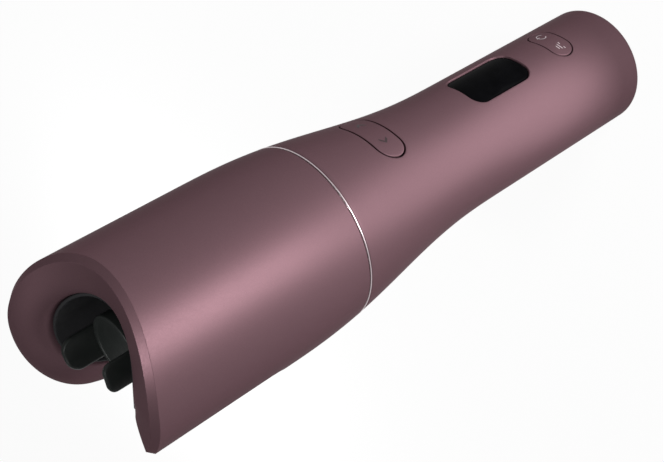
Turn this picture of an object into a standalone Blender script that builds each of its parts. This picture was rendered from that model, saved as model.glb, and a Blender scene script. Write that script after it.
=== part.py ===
"""Cordless automatic hair curler, standing on the flat end of its handle.

Metres, +Z from the handle's end to the tip, the origin at the middle of the flat end.
The button side faces -Y. A turn is an angle about the axis in degrees: 0 is the button
side and it grows towards -X, the side of the flap. A height is a Z value.
"""
import math

import bmesh
import bpy
from mathutils import Matrix, Vector

MM = 0.001

# Clearances between pieces
FIT = 0.3 * MM
BUTTON_GAP = 0.4 * MM
OVERRUN = 2.0 * MM
MERGE = 0.01 * MM

# Outer form
HEAD_RADIUS = 33.0 * MM
HANDLE_RADIUS = 23.0 * MM
SEAM_Z = 154.5 * MM
NECK_FOOT_Z = 75.5 * MM
NECK_TOP_RISE = 33.0 * MM
NECK_TOP_Z = SEAM_Z + NECK_TOP_RISE
WALL = 2.5 * MM
SEAM_WIDTH = 1.0 * MM
SEAM_DEPTH = 3.6 * MM
END_ROUND = 1.2 * MM
ROUND_STEPS = 56
NECK_STEPS = 9
INNER_STEPS = 4

# Mouth of the chamber, heights above the seam
LIP_RISE = 90.6 * MM
SADDLE_RISE = 76.2 * MM
FLAP_RISE = 84.4 * MM
LIP_CORNER = 23.0 * MM
LIP_CORNER_POWER = 2.25
LIP_TURN = -94.5
LIP_EDGE_TURN = -151.0
SADDLE_TURN = 4.0
FLAP_FULL_TURN = 94.0
FLAP_TIP_TURN = 119.0
RIM_CHAMFER = 2.0 * MM
LIP_ROLL = 8.0 * MM
SADDLE_ROLL = 1.2 * MM

# Chamber and slot
CHAMBER_SHARE = 0.6
CHAMBER_WIDE_SHARE = 0.69
CHAMBER_RADIUS = CHAMBER_SHARE * HEAD_RADIUS
CHAMBER_WIDE_RADIUS = CHAMBER_WIDE_SHARE * HEAD_RADIUS
WIDE_FULL_TURN = 60.0
TAPER_TURN = 100.0
CHAMBER_FLOOR_RISE = 23.5 * MM
CHAMBER_FLOOR_Z = SEAM_Z + CHAMBER_FLOOR_RISE
FLOOR_THICKNESS = 2.5 * MM
SLOT_FOOT_RISE = 31.5 * MM
SLOT_FOOT_Z = SEAM_Z + SLOT_FOOT_RISE
SLOT_CORNER = 8.0 * MM
LINER_WALL = 1.2 * MM
LINER_RISE = 72.5 * MM
LINER_MARGIN_TURN = 4.0

# Rotating fork
PRONG_TURN = 68.0
PRONG_HALF_ANGLE = 25.0
PRONG_INNER_SHARE = 0.4
PRONG_OUTER_SHARE = 0.46
PRONG_INNER_RADIUS = PRONG_INNER_SHARE * HEAD_RADIUS
PRONG_OUTER_RADIUS = PRONG_OUTER_SHARE * HEAD_RADIUS
PRONG_RISE = 86.8 * MM
PRONG_CORNER_SHARE = 0.8
FORK_DISC = 2.8 * MM
FORK_DISC_LEDGE = 0.6 * MM
FORK_RUN = 0.6 * MM

# Heated barrel
BARREL_SHARE = 0.32
BARREL_RADIUS = BARREL_SHARE * HEAD_RADIUS
BARREL_WALL = 1.8 * MM
BARREL_BASE = 2.5 * MM
BARREL_RISE = 75.9 * MM
CAP_HEIGHT = 4.1 * MM
CAP_SPIGOT = 4.0 * MM
CAP_EDGE = 0.8 * MM
STEM_WALL = 1.2 * MM
STEM_IN_BARREL = 6.0 * MM
NECK_WALL = 2.0 * MM
BUSH_WALL = 1.4 * MM
SPREADER_LENGTH = 27.0 * MM
HEATER_SIZE = (6.4 * MM, 2.4 * MM, 25.0 * MM)
SENSOR_RADIUS = 1.2 * MM
SENSOR_INSET = 3.6 * MM
SENSOR_LENGTH = 6.0 * MM

# Gear train
GEAR_MODULE = 0.7 * MM
ROTOR_TEETH = 34
PINION_TEETH = 12
PRESSURE_ANGLE = 20.0
ADDENDUM_SHARE = 0.9
DEDENDUM_SHARE = 1.25
TOOTH_SHARE = 0.44
GEAR_WIDTH = 6.0 * MM
GEAR_RIM = 2.5 * MM
PINION_WIDTH = 7.0 * MM
SHAFT_RADIUS = 1.5 * MM
PLATE_THICKNESS = 2.5 * MM
PLATE_RISE = 3.5 * MM
PLATE_Z = SEAM_Z + PLATE_RISE
PLATE_BOSS_INSET = 5.3 * MM
PLATE_BOSS_RADIUS = 2.8 * MM
PLATE_BOSS_TURNS = (3.0, 123.0, 243.0)
SCREW_RADIUS = 1.0 * MM
SCREW_HEAD_RADIUS = 2.1 * MM
SCREW_HEAD = 1.4 * MM
SCREW_GRIP = 7.0 * MM
STEM_FLANGE_REACH = 3.1 * MM
STEM_FLANGE = 2.4 * MM
MOTOR_RADIUS = 6.4 * MM
MOTOR_LENGTH = 25.0 * MM
GEARHEAD_LENGTH = 11.0 * MM
NOSE_RADIUS = 3.0 * MM
MOTOR_TERMINAL = (1.2 * MM, 0.5 * MM, 2.6 * MM)
MOTOR_TERMINAL_PLACE = 4.0 * MM

# Controls: middle height, half height and half width along the wall
DIRECTION_DROP = 30.8 * MM
DIRECTION_Z = SEAM_Z - DIRECTION_DROP
DIRECTION_HALF_HEIGHT = 6.1 * MM
DIRECTION_HALF_ARC = 13.6 * MM
FUNCTION_Z = 29.4 * MM
FUNCTION_HALF_HEIGHT = 5.4 * MM
FUNCTION_HALF_ARC = 9.5 * MM
BUTTON_THICKNESS = 2.2 * MM
POST_RADIUS = 1.3 * MM
POST_LENGTH = 1.6 * MM
SWITCH_TRAVEL_GAP = 0.6 * MM
SWITCH_SIZE = (4.4 * MM, 4.4 * MM, 1.6 * MM)
SWITCH_STEM_RADIUS = 0.9 * MM
SWITCH_STEM = 0.6 * MM
SWITCH_PLACE_SHARE = 0.55
PIVOT_RADIUS = 0.8 * MM
PIVOT_BOSS_RADIUS = 1.9 * MM
PIVOT_DEPTH = 2.6 * MM
EAR_THICKNESS = 1.6 * MM
EAR_WIDTH = 5.0 * MM
EAR_RIM = 0.6 * MM

# Window and display
WINDOW_Z = 64.6 * MM
WINDOW_HALF_HEIGHT = 15.4 * MM
WINDOW_HALF_ARC = 9.3 * MM
WINDOW_CORNER = 5.4 * MM
WINDOW_RECESS = 0.6 * MM
WINDOW_THICKNESS = 1.5 * MM
DISPLAY_SIZE = (15.4 * MM, 2.8 * MM, 27.0 * MM)
GLASS_SIZE = (14.2 * MM, 0.7 * MM, 22.0 * MM)

# Boards
BOARD_THICKNESS = 1.6 * MM
BOARD_HALF_WIDTH = 12.4 * MM
BOARD_LOW_Z = 20.0 * MM
BOARD_OVERHANG = 1.0 * MM
SMALL_BOARD_HALF_WIDTH = 9.0 * MM
SMALL_BOARD_MARGIN = 1.6 * MM
FRAME_THICKNESS = 2.0 * MM

# Battery and tray
CELL_RADIUS = 9.2 * MM
CELL_LENGTH = 65.0 * MM
CELL_PLACE = (9.6 * MM, 2.4 * MM)
CELL_FOOT_Z = 13.5 * MM
CELL_TIP_RADIUS = 3.0 * MM
CELL_TIP = 1.0 * MM
STRIP_THICKNESS = 0.3 * MM
STRIP_HALF_HEIGHT = 3.0 * MM
TRAY_THICKNESS = 1.6 * MM
TRAY_END = 2.0 * MM
TRAY_POST_RADIUS = 1.7 * MM

# Flat end
CAP_PLATE = 2.6 * MM
CHARGE_HALF_WIDTH = 4.5 * MM
CHARGE_HALF_HEIGHT = 1.65 * MM
CHARGE_WALL = 0.4 * MM
CHARGE_LENGTH = 6.6 * MM
CHARGE_DEPTH = 5.6 * MM
CHARGE_BOARD_SIZE = (22.0 * MM, 13.0 * MM, 1.2 * MM)

# Derived places
LIP_TOP_Z = SEAM_Z + LIP_RISE + RIM_CHAMFER
HEAD_FOOT_Z = SEAM_Z + SEAM_WIDTH / 2 + FIT
HANDLE_TOP_Z = SEAM_Z - SEAM_WIDTH / 2 - FIT
BULKHEAD_Z = CHAMBER_FLOOR_Z - FLOOR_THICKNESS
ROTOR_PITCH_RADIUS = GEAR_MODULE * ROTOR_TEETH / 2
PINION_PITCH_RADIUS = GEAR_MODULE * PINION_TEETH / 2
MOTOR_PLACE = ROTOR_PITCH_RADIUS + PINION_PITCH_RADIUS
BARREL_BORE = BARREL_RADIUS - BARREL_WALL
NECK_OUTER_RADIUS = ROTOR_PITCH_RADIUS - DEDENDUM_SHARE * GEAR_MODULE - GEAR_RIM
NECK_INNER_RADIUS = NECK_OUTER_RADIUS - NECK_WALL
STEM_RADIUS = NECK_INNER_RADIUS - BUSH_WALL - 2 * FIT
STEM_BORE = STEM_RADIUS - STEM_WALL
SENSOR_OFFSET = BARREL_BORE - SENSOR_INSET
PLATE_TOP_Z = PLATE_Z + PLATE_THICKNESS
DISC_Z = CHAMBER_FLOOR_Z + FORK_RUN
DISC_TOP_Z = DISC_Z + FORK_DISC
BARREL_BASE_Z = DISC_TOP_Z + FORK_RUN
BARREL_Z = BARREL_BASE_Z + BARREL_BASE + FIT
BARREL_TOP_Z = SEAM_Z + BARREL_RISE
CAP_Z = BARREL_TOP_Z - CAP_HEIGHT
GEAR_Z = PLATE_TOP_Z + 2 * FORK_RUN
HANDLE_BORE = HANDLE_RADIUS - WALL
BOARD_FRONT_Y = -(HANDLE_BORE - WINDOW_THICKNESS - DISPLAY_SIZE[1] - 2 * FIT) + FIT
TRAY_BACK_Y = CELL_PLACE[1] - CELL_RADIUS - FIT
TRAY_LOW_Z = CELL_FOOT_Z - FIT - TRAY_END
STRIP_Z = CELL_FOOT_Z + CELL_LENGTH + CELL_TIP + FIT
TRAY_TOP_Z = STRIP_Z + STRIP_THICKNESS + 2 * FIT + TRAY_END
BOARD_HIGH_Z = TRAY_TOP_Z + BOARD_OVERHANG

COLOURS = {
    "body_satin": ((0.27, 0.165, 0.185), 0.38, 0.75),
    "liner_black": ((0.02, 0.02, 0.022), 0.45, 0.0),
    "fork_black": ((0.03, 0.032, 0.032), 0.4, 0.0),
    "barrel_black": ((0.035, 0.035, 0.04), 0.3, 0.3),
    "chrome": ((0.8, 0.8, 0.82), 0.12, 1.0),
    "steel": ((0.6, 0.6, 0.62), 0.3, 1.0),
    "bronze": ((0.55, 0.38, 0.2), 0.35, 1.0),
    "aluminium": ((0.75, 0.75, 0.77), 0.35, 1.0),
    "gear_white": ((0.85, 0.84, 0.8), 0.5, 0.0),
    "frame_grey": ((0.12, 0.12, 0.125), 0.55, 0.0),
    "window_black": ((0.004, 0.004, 0.005), 0.05, 0.0),
    "board_green": ((0.03, 0.18, 0.08), 0.5, 0.0),
    "cell_wrap": ((0.05, 0.2, 0.45), 0.4, 0.0),
    "ceramic": ((0.85, 0.83, 0.78), 0.6, 0.0),
}


def clear_scene():
    for thing in list(bpy.data.objects):
        bpy.data.objects.remove(thing, do_unlink=True)


def new_collection(name):
    made = bpy.data.collections.new(name)
    bpy.context.scene.collection.children.link(made)
    return made


def material(name):
    if name in bpy.data.materials:
        return bpy.data.materials[name]
    colour, roughness, metallic = COLOURS[name]
    made = bpy.data.materials.new(name)
    made.use_nodes = True
    shader = made.node_tree.nodes["Principled BSDF"]
    shader.inputs["Base Color"].default_value = (*colour, 1.0)
    shader.inputs["Roughness"].default_value = roughness
    shader.inputs["Metallic"].default_value = metallic
    made.diffuse_color = (*colour, 1.0)
    return made


def as_piece(thing, look):
    """Put a finished object among the pieces, in its colour."""
    PIECES.objects.link(thing)
    thing.data.materials.clear()
    thing.data.materials.append(material(look))
    return thing


def as_cutter(thing):
    CUTTERS.objects.link(thing)
    thing.hide_render = True
    thing.display_type = "WIRE"
    return thing


def turned(name, profile, steps=ROUND_STEPS, closed=False):
    """Revolve a profile of (radius, height) points about Z, outer side listed downwards."""
    mesh = bpy.data.meshes.new(name)
    count = len(profile)
    edges = [(i, i + 1) for i in range(count - 1)]
    if closed:
        edges.append((count - 1, 0))
    mesh.from_pydata([(radius, 0.0, height) for radius, height in profile], edges, [])
    thing = bpy.data.objects.new(name, mesh)
    screw = thing.modifiers.new("Screw", "SCREW")
    screw.axis = "Z"
    screw.steps = steps
    screw.render_steps = steps
    screw.use_merge_vertices = True
    screw.merge_threshold = MERGE
    screw.use_smooth_shade = True
    return thing


def cylinder(name, radius, low, high, steps=24):
    return turned(name, [(0.0, high), (radius, high), (radius, low), (0.0, low)], steps)


def tube(name, radius, bore, low, high, steps=32):
    profile = [(radius, high), (radius, low), (bore, low), (bore, high)]
    return turned(name, profile, steps, closed=True)


def box(name, size, centre):
    bm = bmesh.new()
    bmesh.ops.create_cube(bm, size=1.0, matrix=Matrix.Diagonal((*size, 1.0)))
    mesh = bpy.data.meshes.new(name)
    bm.to_mesh(mesh)
    bm.free()
    thing = bpy.data.objects.new(name, mesh)
    thing.location = centre
    return thing


def flat_solid(name, outlines, low, high):
    """Extrude flat outlines along Z between two heights; inner outlines are holes."""
    curve = bpy.data.curves.new(name, "CURVE")
    curve.dimensions = "2D"
    curve.fill_mode = "BOTH"
    curve.extrude = (high - low) / 2
    for outline in outlines:
        spline = curve.splines.new("POLY")
        spline.points.add(len(outline) - 1)
        for point, (x, y) in zip(spline.points, outline):
            point.co = (x, y, 0.0, 1.0)
        spline.use_cyclic_u = True
    guide = bpy.data.objects.new(name + ".outline", curve)
    bpy.context.scene.collection.objects.link(guide)
    bpy.context.view_layer.update()
    seen = guide.evaluated_get(bpy.context.evaluated_depsgraph_get())
    mesh = bpy.data.meshes.new_from_object(seen)
    bpy.data.objects.remove(guide, do_unlink=True)
    bm = bmesh.new()
    bm.from_mesh(mesh)
    bmesh.ops.remove_doubles(bm, verts=bm.verts, dist=MERGE)
    bmesh.ops.translate(bm, verts=bm.verts, vec=(0.0, 0.0, (low + high) / 2))
    bmesh.ops.recalc_face_normals(bm, faces=bm.faces)
    bm.to_mesh(mesh)
    bm.free()
    return bpy.data.objects.new(name, mesh)


def combine(target, other, operation="DIFFERENCE"):
    as_cutter(other)
    modifier = target.modifiers.new(operation.title(), "BOOLEAN")
    modifier.operation = operation
    modifier.object = other
    return target


def smooth(share):
    """Ease from 0 to 1 with level ends."""
    share = min(max(share, 0.0), 1.0)
    return share ** 3 * (10 - 15 * share + 6 * share ** 2)


def swing(share):
    """Half a cosine wave from 0 to 1."""
    share = min(max(share, 0.0), 1.0)
    return (1 - math.cos(math.pi * share)) / 2


def place(radius, turn):
    """The x and y of a point at a turn from the button side."""
    angle = math.radians(turn)
    return -radius * math.sin(angle), -radius * math.cos(angle)


def body_radius(height):
    """Outer radius of the body: a straight handle, a flared neck and a straight head."""
    share = (height - NECK_FOOT_Z) / (NECK_TOP_Z - NECK_FOOT_Z)
    return HANDLE_RADIUS + (HEAD_RADIUS - HANDLE_RADIUS) * smooth(share)


def heights(low, high, steps):
    return [high + (low - high) * i / steps for i in range(steps + 1)]


def body_side(low, high, inset=0.0, steps=NECK_STEPS):
    """Points down the body's side between two heights, set in by a wall."""
    return [(body_radius(height) - inset, height) for height in heights(low, high, steps)]


def rim_height(turn):
    """Height of the mouth's outer edge at a turn between the lip's edge and the flap's tip."""
    if turn < LIP_TURN:
        share = (LIP_TURN - turn) / (LIP_TURN - LIP_EDGE_TURN)
        fall = LIP_CORNER * (1 - max(0.0, 1 - share ** LIP_CORNER_POWER) ** (1 / LIP_CORNER_POWER))
        return SEAM_Z + LIP_RISE - fall
    if turn < SADDLE_TURN:
        share = (turn - LIP_TURN) / (SADDLE_TURN - LIP_TURN)
        return SEAM_Z + LIP_RISE + (SADDLE_RISE - LIP_RISE) * swing(share)
    share = (turn - SADDLE_TURN) / (FLAP_FULL_TURN - SADDLE_TURN)
    return SEAM_Z + SADDLE_RISE + (FLAP_RISE - SADDLE_RISE) * swing(share)


def roll_height(turn):
    """How far the lip's face rolls down between its crest and the chamber's wall."""
    share = (turn - LIP_TURN) / (SADDLE_TURN - LIP_TURN)
    return LIP_ROLL + (SADDLE_ROLL - LIP_ROLL) * swing(share)


def chamber_radius(turn):
    """The chamber's wall: a round that opens into a wider round behind the flap."""
    wider = CHAMBER_WIDE_RADIUS - CHAMBER_RADIUS
    opening = swing((turn - SADDLE_TURN) / (WIDE_FULL_TURN - SADDLE_TURN))
    closing = swing((turn - TAPER_TURN) / (LIP_EDGE_TURN + 360 - TAPER_TURN))
    return CHAMBER_RADIUS + wider * (opening - closing)


def mouth_turns():
    """Turns round the mouth, closer together where the lip's corner falls away."""
    corner_steps = 8
    rim_steps = 36
    slot_steps = 6
    span = LIP_TURN - LIP_EDGE_TURN
    corner = [LIP_TURN - span * math.cos(math.pi / 2 * i / corner_steps) for i in range(corner_steps)]
    rim = [LIP_TURN + (FLAP_TIP_TURN - LIP_TURN) * i / rim_steps for i in range(rim_steps + 1)]
    gap = LIP_EDGE_TURN + 360 - FLAP_TIP_TURN
    slot = [FLAP_TIP_TURN + gap * i / slot_steps for i in range(1, slot_steps)]
    return corner + rim + slot


def mouth_section(turn):
    """Points of the mouth's face at one turn, from the middle out past the wall."""
    if turn > FLAP_TIP_TURN:
        share = (turn - FLAP_TIP_TURN) / (LIP_EDGE_TURN + 360 - FLAP_TIP_TURN)
        crest = rim_height(FLAP_TIP_TURN) + (rim_height(LIP_EDGE_TURN) - rim_height(FLAP_TIP_TURN)) * share
        roll = SADDLE_ROLL + (LIP_ROLL - SADDLE_ROLL) * share
    else:
        crest = rim_height(turn)
        roll = roll_height(turn)
    crest += RIM_CHAMFER
    outer = HEAD_RADIUS - RIM_CHAMFER
    inner = chamber_radius(turn)
    roll_steps = 5
    points = [(0.0, crest - roll)]
    for i in range(roll_steps + 1):
        angle = math.pi / 2 * i / roll_steps
        radius = outer + (inner - outer) * math.cos(angle)
        points.append((radius, crest - roll * (1 - math.sin(angle))))
    points.append((HEAD_RADIUS + OVERRUN, crest - RIM_CHAMFER - OVERRUN))
    return points


def mouth_cutter():
    """A lid whose underside is the mouth's face, lofted through one section for each turn."""
    turns = mouth_turns()
    sections = [mouth_section(turn) for turn in turns]
    lid_z = LIP_TOP_Z + 2 * OVERRUN
    bm = bmesh.new()
    middle_z = sum(section[0][1] for section in sections) / len(sections)
    middle = bm.verts.new((0.0, 0.0, middle_z))
    top = bm.verts.new((0.0, 0.0, lid_z))
    rings = []
    for turn, section in zip(turns, sections):
        ring = [bm.verts.new((*place(radius, turn), height)) for radius, height in section[1:]]
        ring.append(bm.verts.new((*place(section[-1][0], turn), lid_z)))
        rings.append(ring)
    for i, ring in enumerate(rings):
        following = rings[(i + 1) % len(rings)]
        bm.faces.new((middle, ring[0], following[0]))
        bm.faces.new((top, following[-1], ring[-1]))
        for a in range(len(ring) - 1):
            bm.faces.new((ring[a], ring[a + 1], following[a + 1], following[a]))
    bmesh.ops.recalc_face_normals(bm, faces=bm.faces)
    mesh = bpy.data.meshes.new("mouth_cut")
    bm.to_mesh(mesh)
    bm.free()
    return bpy.data.objects.new("mouth_cut", mesh)


def chamber_outline(inset=0.0):
    count = 60
    step = 360 / count
    turns = [LIP_EDGE_TURN + step * (i + 0.5) for i in range(count)]
    return [place(chamber_radius(turn) - inset, turn) for turn in turns]


def slot_outline():
    """The slot seen along the axis: a radial face at the lip and a taper behind the flap."""
    lip_turn = LIP_EDGE_TURN + 360
    reach = HEAD_RADIUS + 2 * OVERRUN
    heart = CHAMBER_RADIUS - 2 * OVERRUN
    taper_foot = Vector(place(CHAMBER_WIDE_RADIUS, TAPER_TURN))
    flap_tip = Vector(place(HEAD_RADIUS, FLAP_TIP_TURN))
    beyond = flap_tip + (flap_tip - taper_foot)
    arc_steps = 6
    arc_start = math.degrees(math.atan2(-beyond.x, -beyond.y)) % 360
    arc = [arc_start + (lip_turn - arc_start) * i / arc_steps for i in range(1, arc_steps + 1)]
    outer = [place(max(reach, beyond.length), turn) for turn in arc]
    taper = [place(heart, TAPER_TURN), tuple(taper_foot), tuple(beyond)]
    return taper + outer + [place(heart, lip_turn)]


def slot_cutter():
    """The slot's wedge with its two lower corners rounded."""
    thing = flat_solid("slot_cut", [slot_outline()], SLOT_FOOT_Z, LIP_TOP_Z + OVERRUN)
    bm = bmesh.new()
    bm.from_mesh(thing.data)
    lip_line = Vector((*place(1.0, LIP_EDGE_TURN), 0.0))
    taper_foot = Vector((*place(CHAMBER_WIDE_RADIUS, TAPER_TURN), 0.0))
    taper_line = (Vector((*place(HEAD_RADIUS, FLAP_TIP_TURN), 0.0)) - taper_foot).normalized()
    lower = []
    for edge in bm.edges:
        a, b = edge.verts
        low = max(a.co.z, b.co.z) < SLOT_FOOT_Z + MERGE
        along = (b.co - a.co).normalized()
        on_lip = abs(along.dot(lip_line)) > 0.999 and abs(a.co.cross(lip_line).z) < MERGE
        on_flap = abs(along.dot(taper_line)) > 0.999
        if low and len(edge.link_faces) == 2 and (on_lip or on_flap):
            lower.append(edge)
    bmesh.ops.bevel(bm, geom=lower, offset=SLOT_CORNER, segments=5, profile=0.5, affect="EDGES")
    bmesh.ops.recalc_face_normals(bm, faces=bm.faces)
    bm.to_mesh(thing.data)
    bm.free()
    return thing


def boss_places():
    reach = body_radius(PLATE_Z) - WALL - PLATE_BOSS_INSET
    return [place(reach, turn) for turn in PLATE_BOSS_TURNS]


def head_shell():
    top = LIP_TOP_Z + OVERRUN
    side = [(0.0, top), (HEAD_RADIUS, top)] + body_side(HEAD_FOOT_Z, NECK_TOP_Z, steps=7)
    thing = turned("head_shell", side + [(0.0, HEAD_FOOT_Z)])
    well = body_side(HEAD_FOOT_Z - OVERRUN, BULKHEAD_Z, inset=WALL, steps=INNER_STEPS)
    combine(thing, turned("well_cut", [(0.0, BULKHEAD_Z)] + well + [(0.0, HEAD_FOOT_Z - OVERRUN)]))
    combine(thing, flat_solid("chamber_cut", [chamber_outline()], CHAMBER_FLOOR_Z, top + OVERRUN))
    combine(thing, slot_cutter())
    combine(thing, mouth_cutter())
    hole = NECK_OUTER_RADIUS + FORK_RUN
    combine(thing, cylinder("neck_cut", hole, BULKHEAD_Z - OVERRUN, CHAMBER_FLOOR_Z + OVERRUN, 32))
    boss_top = BULKHEAD_Z + FLOOR_THICKNESS / 2
    pilot_low = PLATE_TOP_Z - OVERRUN
    pilot_high = PLATE_TOP_Z + SCREW_GRIP + OVERRUN
    for number, (x, y) in enumerate(boss_places()):
        boss = cylinder(f"boss_{number}", PLATE_BOSS_RADIUS, PLATE_TOP_Z + FIT, boss_top, 16)
        boss.location = (x, y, 0.0)
        combine(thing, boss, "UNION")
        pilot = cylinder(f"pilot_{number}", SCREW_RADIUS + FIT, pilot_low, pilot_high, 12)
        pilot.location = (x, y, 0.0)
        combine(thing, pilot)
    as_piece(thing, "body_satin")


def chamber_liner():
    """Black sleeve that follows the chamber's wall and leaves the slot open."""
    first = LIP_EDGE_TURN + LINER_MARGIN_TURN
    last = TAPER_TURN - LINER_MARGIN_TURN
    count = 40
    turns = [first + (last - first) * i / count for i in range(count + 1)]
    outer = [place(chamber_radius(turn) - FIT, turn) for turn in turns]
    inner = [place(chamber_radius(turn) - FIT - LINER_WALL, turn) for turn in reversed(turns)]
    low = CHAMBER_FLOOR_Z + FIT
    thing = flat_solid("chamber_liner", [outer + inner], low, SEAM_Z + LINER_RISE)
    as_piece(thing, "liner_black")


def seam_ring():
    low = SEAM_Z - SEAM_WIDTH / 2
    high = SEAM_Z + SEAM_WIDTH / 2
    outer = body_radius(SEAM_Z)
    as_piece(tube("seam_ring", outer, outer - SEAM_DEPTH, low, high, ROUND_STEPS), "chrome")


def prong_outline():
    """One prong unrolled: half width along the arc against height, with round front corners."""
    mean = (PRONG_INNER_RADIUS + PRONG_OUTER_RADIUS) / 2
    half = math.radians(PRONG_HALF_ANGLE) * mean
    corner = half * PRONG_CORNER_SHARE
    top = SEAM_Z + PRONG_RISE
    steps = 6
    side = []
    for i in range(steps + 1):
        angle = math.pi / 2 * i / steps
        side.append((half - corner + corner * math.cos(angle), top - corner + corner * math.sin(angle)))
    return [(half, DISC_Z)] + side + [(-x, z) for x, z in reversed(side)] + [(-half, DISC_Z)]


def prong(name, turn):
    """A curved tongue: a ring segment cut to the prong's outline seen from outside."""
    mean = (PRONG_INNER_RADIUS + PRONG_OUTER_RADIUS) / 2
    outline = [(mean * math.sin(arc / mean), height) for arc, height in prong_outline()]
    cutter = flat_solid(name + "_outline", [outline], 0.0, PRONG_OUTER_RADIUS + OVERRUN)
    cutter.rotation_euler = (math.radians(90.0), 0.0, math.radians(-turn))
    low = DISC_Z + FORK_DISC / 2
    ring = tube(name, PRONG_OUTER_RADIUS, PRONG_INNER_RADIUS, low, SEAM_Z + PRONG_RISE + OVERRUN, 48)
    return combine(ring, cutter, "INTERSECT")


def rotor_fork():
    """Carrier disc with its hollow neck and the two prongs that carry the hair round."""
    neck_foot = PLATE_TOP_Z + FORK_RUN
    disc_radius = PRONG_OUTER_RADIUS + FORK_DISC_LEDGE
    profile = [
        (disc_radius, DISC_TOP_Z),
        (disc_radius, DISC_Z),
        (NECK_OUTER_RADIUS, DISC_Z),
        (NECK_OUTER_RADIUS, neck_foot),
        (NECK_INNER_RADIUS, neck_foot),
        (NECK_INNER_RADIUS, DISC_TOP_Z),
    ]
    thing = turned("rotor_fork", profile, 48, closed=True)
    for name, turn in (("prong_near", PRONG_TURN), ("prong_far", PRONG_TURN + 180)):
        combine(thing, prong(name, turn), "UNION")
    as_piece(thing, "fork_black")


def involute(radius, base):
    """Turn in radians of an involute at a radius, from where it leaves the base circle."""
    ratio = math.sqrt(max(0.0, (radius / base) ** 2 - 1.0))
    return ratio - math.atan(ratio)


def gear_outline(teeth, phase):
    """Outline of a spur gear; phase turns it by a share of one tooth."""
    pitch = GEAR_MODULE * teeth / 2
    base = pitch * math.cos(math.radians(PRESSURE_ANGLE))
    root = pitch - DEDENDUM_SHARE * GEAR_MODULE
    tip = pitch + ADDENDUM_SHARE * GEAR_MODULE
    half_tooth = math.pi / teeth * TOOTH_SHARE
    at_pitch = involute(pitch, base)
    points = []
    for tooth in range(teeth):
        middle = 2 * math.pi * (tooth + phase) / teeth
        flank = [(radius, half_tooth - involute(radius, base) + at_pitch) for radius in (root, pitch, tip)]
        for radius, half in flank:
            points.append((radius, middle - half))
        for radius, half in reversed(flank):
            points.append((radius, middle + half))
    return [(radius * math.cos(angle), radius * math.sin(angle)) for radius, angle in points]


def circle(radius, steps):
    angles = [2 * math.pi * i / steps for i in range(steps)]
    return [(radius * math.cos(angle), radius * math.sin(angle)) for angle in angles]


def gears():
    bore = circle(NECK_OUTER_RADIUS + FIT, 32)
    quarter = ROTOR_TEETH / 4
    outline = gear_outline(ROTOR_TEETH, quarter - math.floor(quarter))
    gear = flat_solid("rotor_gear", [outline, bore], GEAR_Z, GEAR_Z + GEAR_WIDTH)
    as_piece(gear, "gear_white")
    shaft_bore = circle(SHAFT_RADIUS + FIT, 16)
    facing = -PINION_TEETH / 4
    outline = gear_outline(PINION_TEETH, facing - math.floor(facing) + 0.5)
    low = GEAR_Z - FORK_RUN
    pinion = flat_solid("motor_pinion", [outline, shaft_bore], low, low + PINION_WIDTH)
    pinion.location = (0.0, MOTOR_PLACE, 0.0)
    as_piece(pinion, "steel")


def rotor_bush():
    low = GEAR_Z
    thing = tube("rotor_bush", NECK_INNER_RADIUS - FIT, STEM_RADIUS + FIT, low, DISC_Z, 32)
    as_piece(thing, "bronze")


def barrel_stem():
    """Hollow post, fixed under the gear plate, that carries the heated barrel."""
    flange_top = PLATE_Z - FIT
    flange_radius = STEM_RADIUS + STEM_FLANGE_REACH
    profile = [
        (STEM_RADIUS, BARREL_Z + STEM_IN_BARREL),
        (STEM_RADIUS, flange_top),
        (flange_radius, flange_top),
        (flange_radius, flange_top - STEM_FLANGE),
        (STEM_BORE, flange_top - STEM_FLANGE),
        (STEM_BORE, BARREL_Z + STEM_IN_BARREL),
    ]
    as_piece(turned("barrel_stem", profile, 32, closed=True), "steel")


def barrel():
    """Base, heated tube, cap, heat spreader, heating element and temperature sensor."""
    base_top = BARREL_BASE_Z + BARREL_BASE
    base = tube("barrel_base", BARREL_RADIUS - FIT, STEM_RADIUS + FIT, BARREL_BASE_Z, base_top)
    as_piece(base, "liner_black")
    heated = tube("heated_barrel", BARREL_RADIUS, BARREL_BORE, BARREL_Z, CAP_Z - FIT, 40)
    as_piece(heated, "barrel_black")
    spigot = BARREL_BORE - FIT
    profile = [
        (0.0, BARREL_TOP_Z),
        (BARREL_RADIUS - CAP_EDGE, BARREL_TOP_Z),
        (BARREL_RADIUS, BARREL_TOP_Z - CAP_EDGE),
        (BARREL_RADIUS, CAP_Z),
        (spigot, CAP_Z),
        (spigot, CAP_Z - CAP_SPIGOT),
        (0.0, CAP_Z - CAP_SPIGOT),
    ]
    as_piece(turned("barrel_cap", profile, 40), "fork_black")
    low = BARREL_Z + STEM_IN_BARREL + FIT
    high = low + SPREADER_LENGTH
    spreader = cylinder("heat_spreader", BARREL_BORE - FIT, low, high, 32)
    middle = (low + high) / 2
    pocket = [HEATER_SIZE[0] + 2 * FIT, HEATER_SIZE[1] + 2 * FIT, SPREADER_LENGTH + OVERRUN]
    combine(spreader, box("heater_pocket", pocket, (0.0, 0.0, middle)))
    hole = cylinder("sensor_hole", SENSOR_RADIUS + FIT, high - SENSOR_LENGTH, high + OVERRUN, 12)
    hole.location = (0.0, SENSOR_OFFSET, 0.0)
    combine(spreader, hole)
    as_piece(spreader, "aluminium")
    as_piece(box("heating_element", HEATER_SIZE, (0.0, 0.0, middle)), "ceramic")
    sensor = cylinder("temperature_sensor", SENSOR_RADIUS, high - SENSOR_LENGTH + FIT, high, 12)
    sensor.location = (0.0, SENSOR_OFFSET, 0.0)
    as_piece(sensor, "ceramic")


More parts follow.
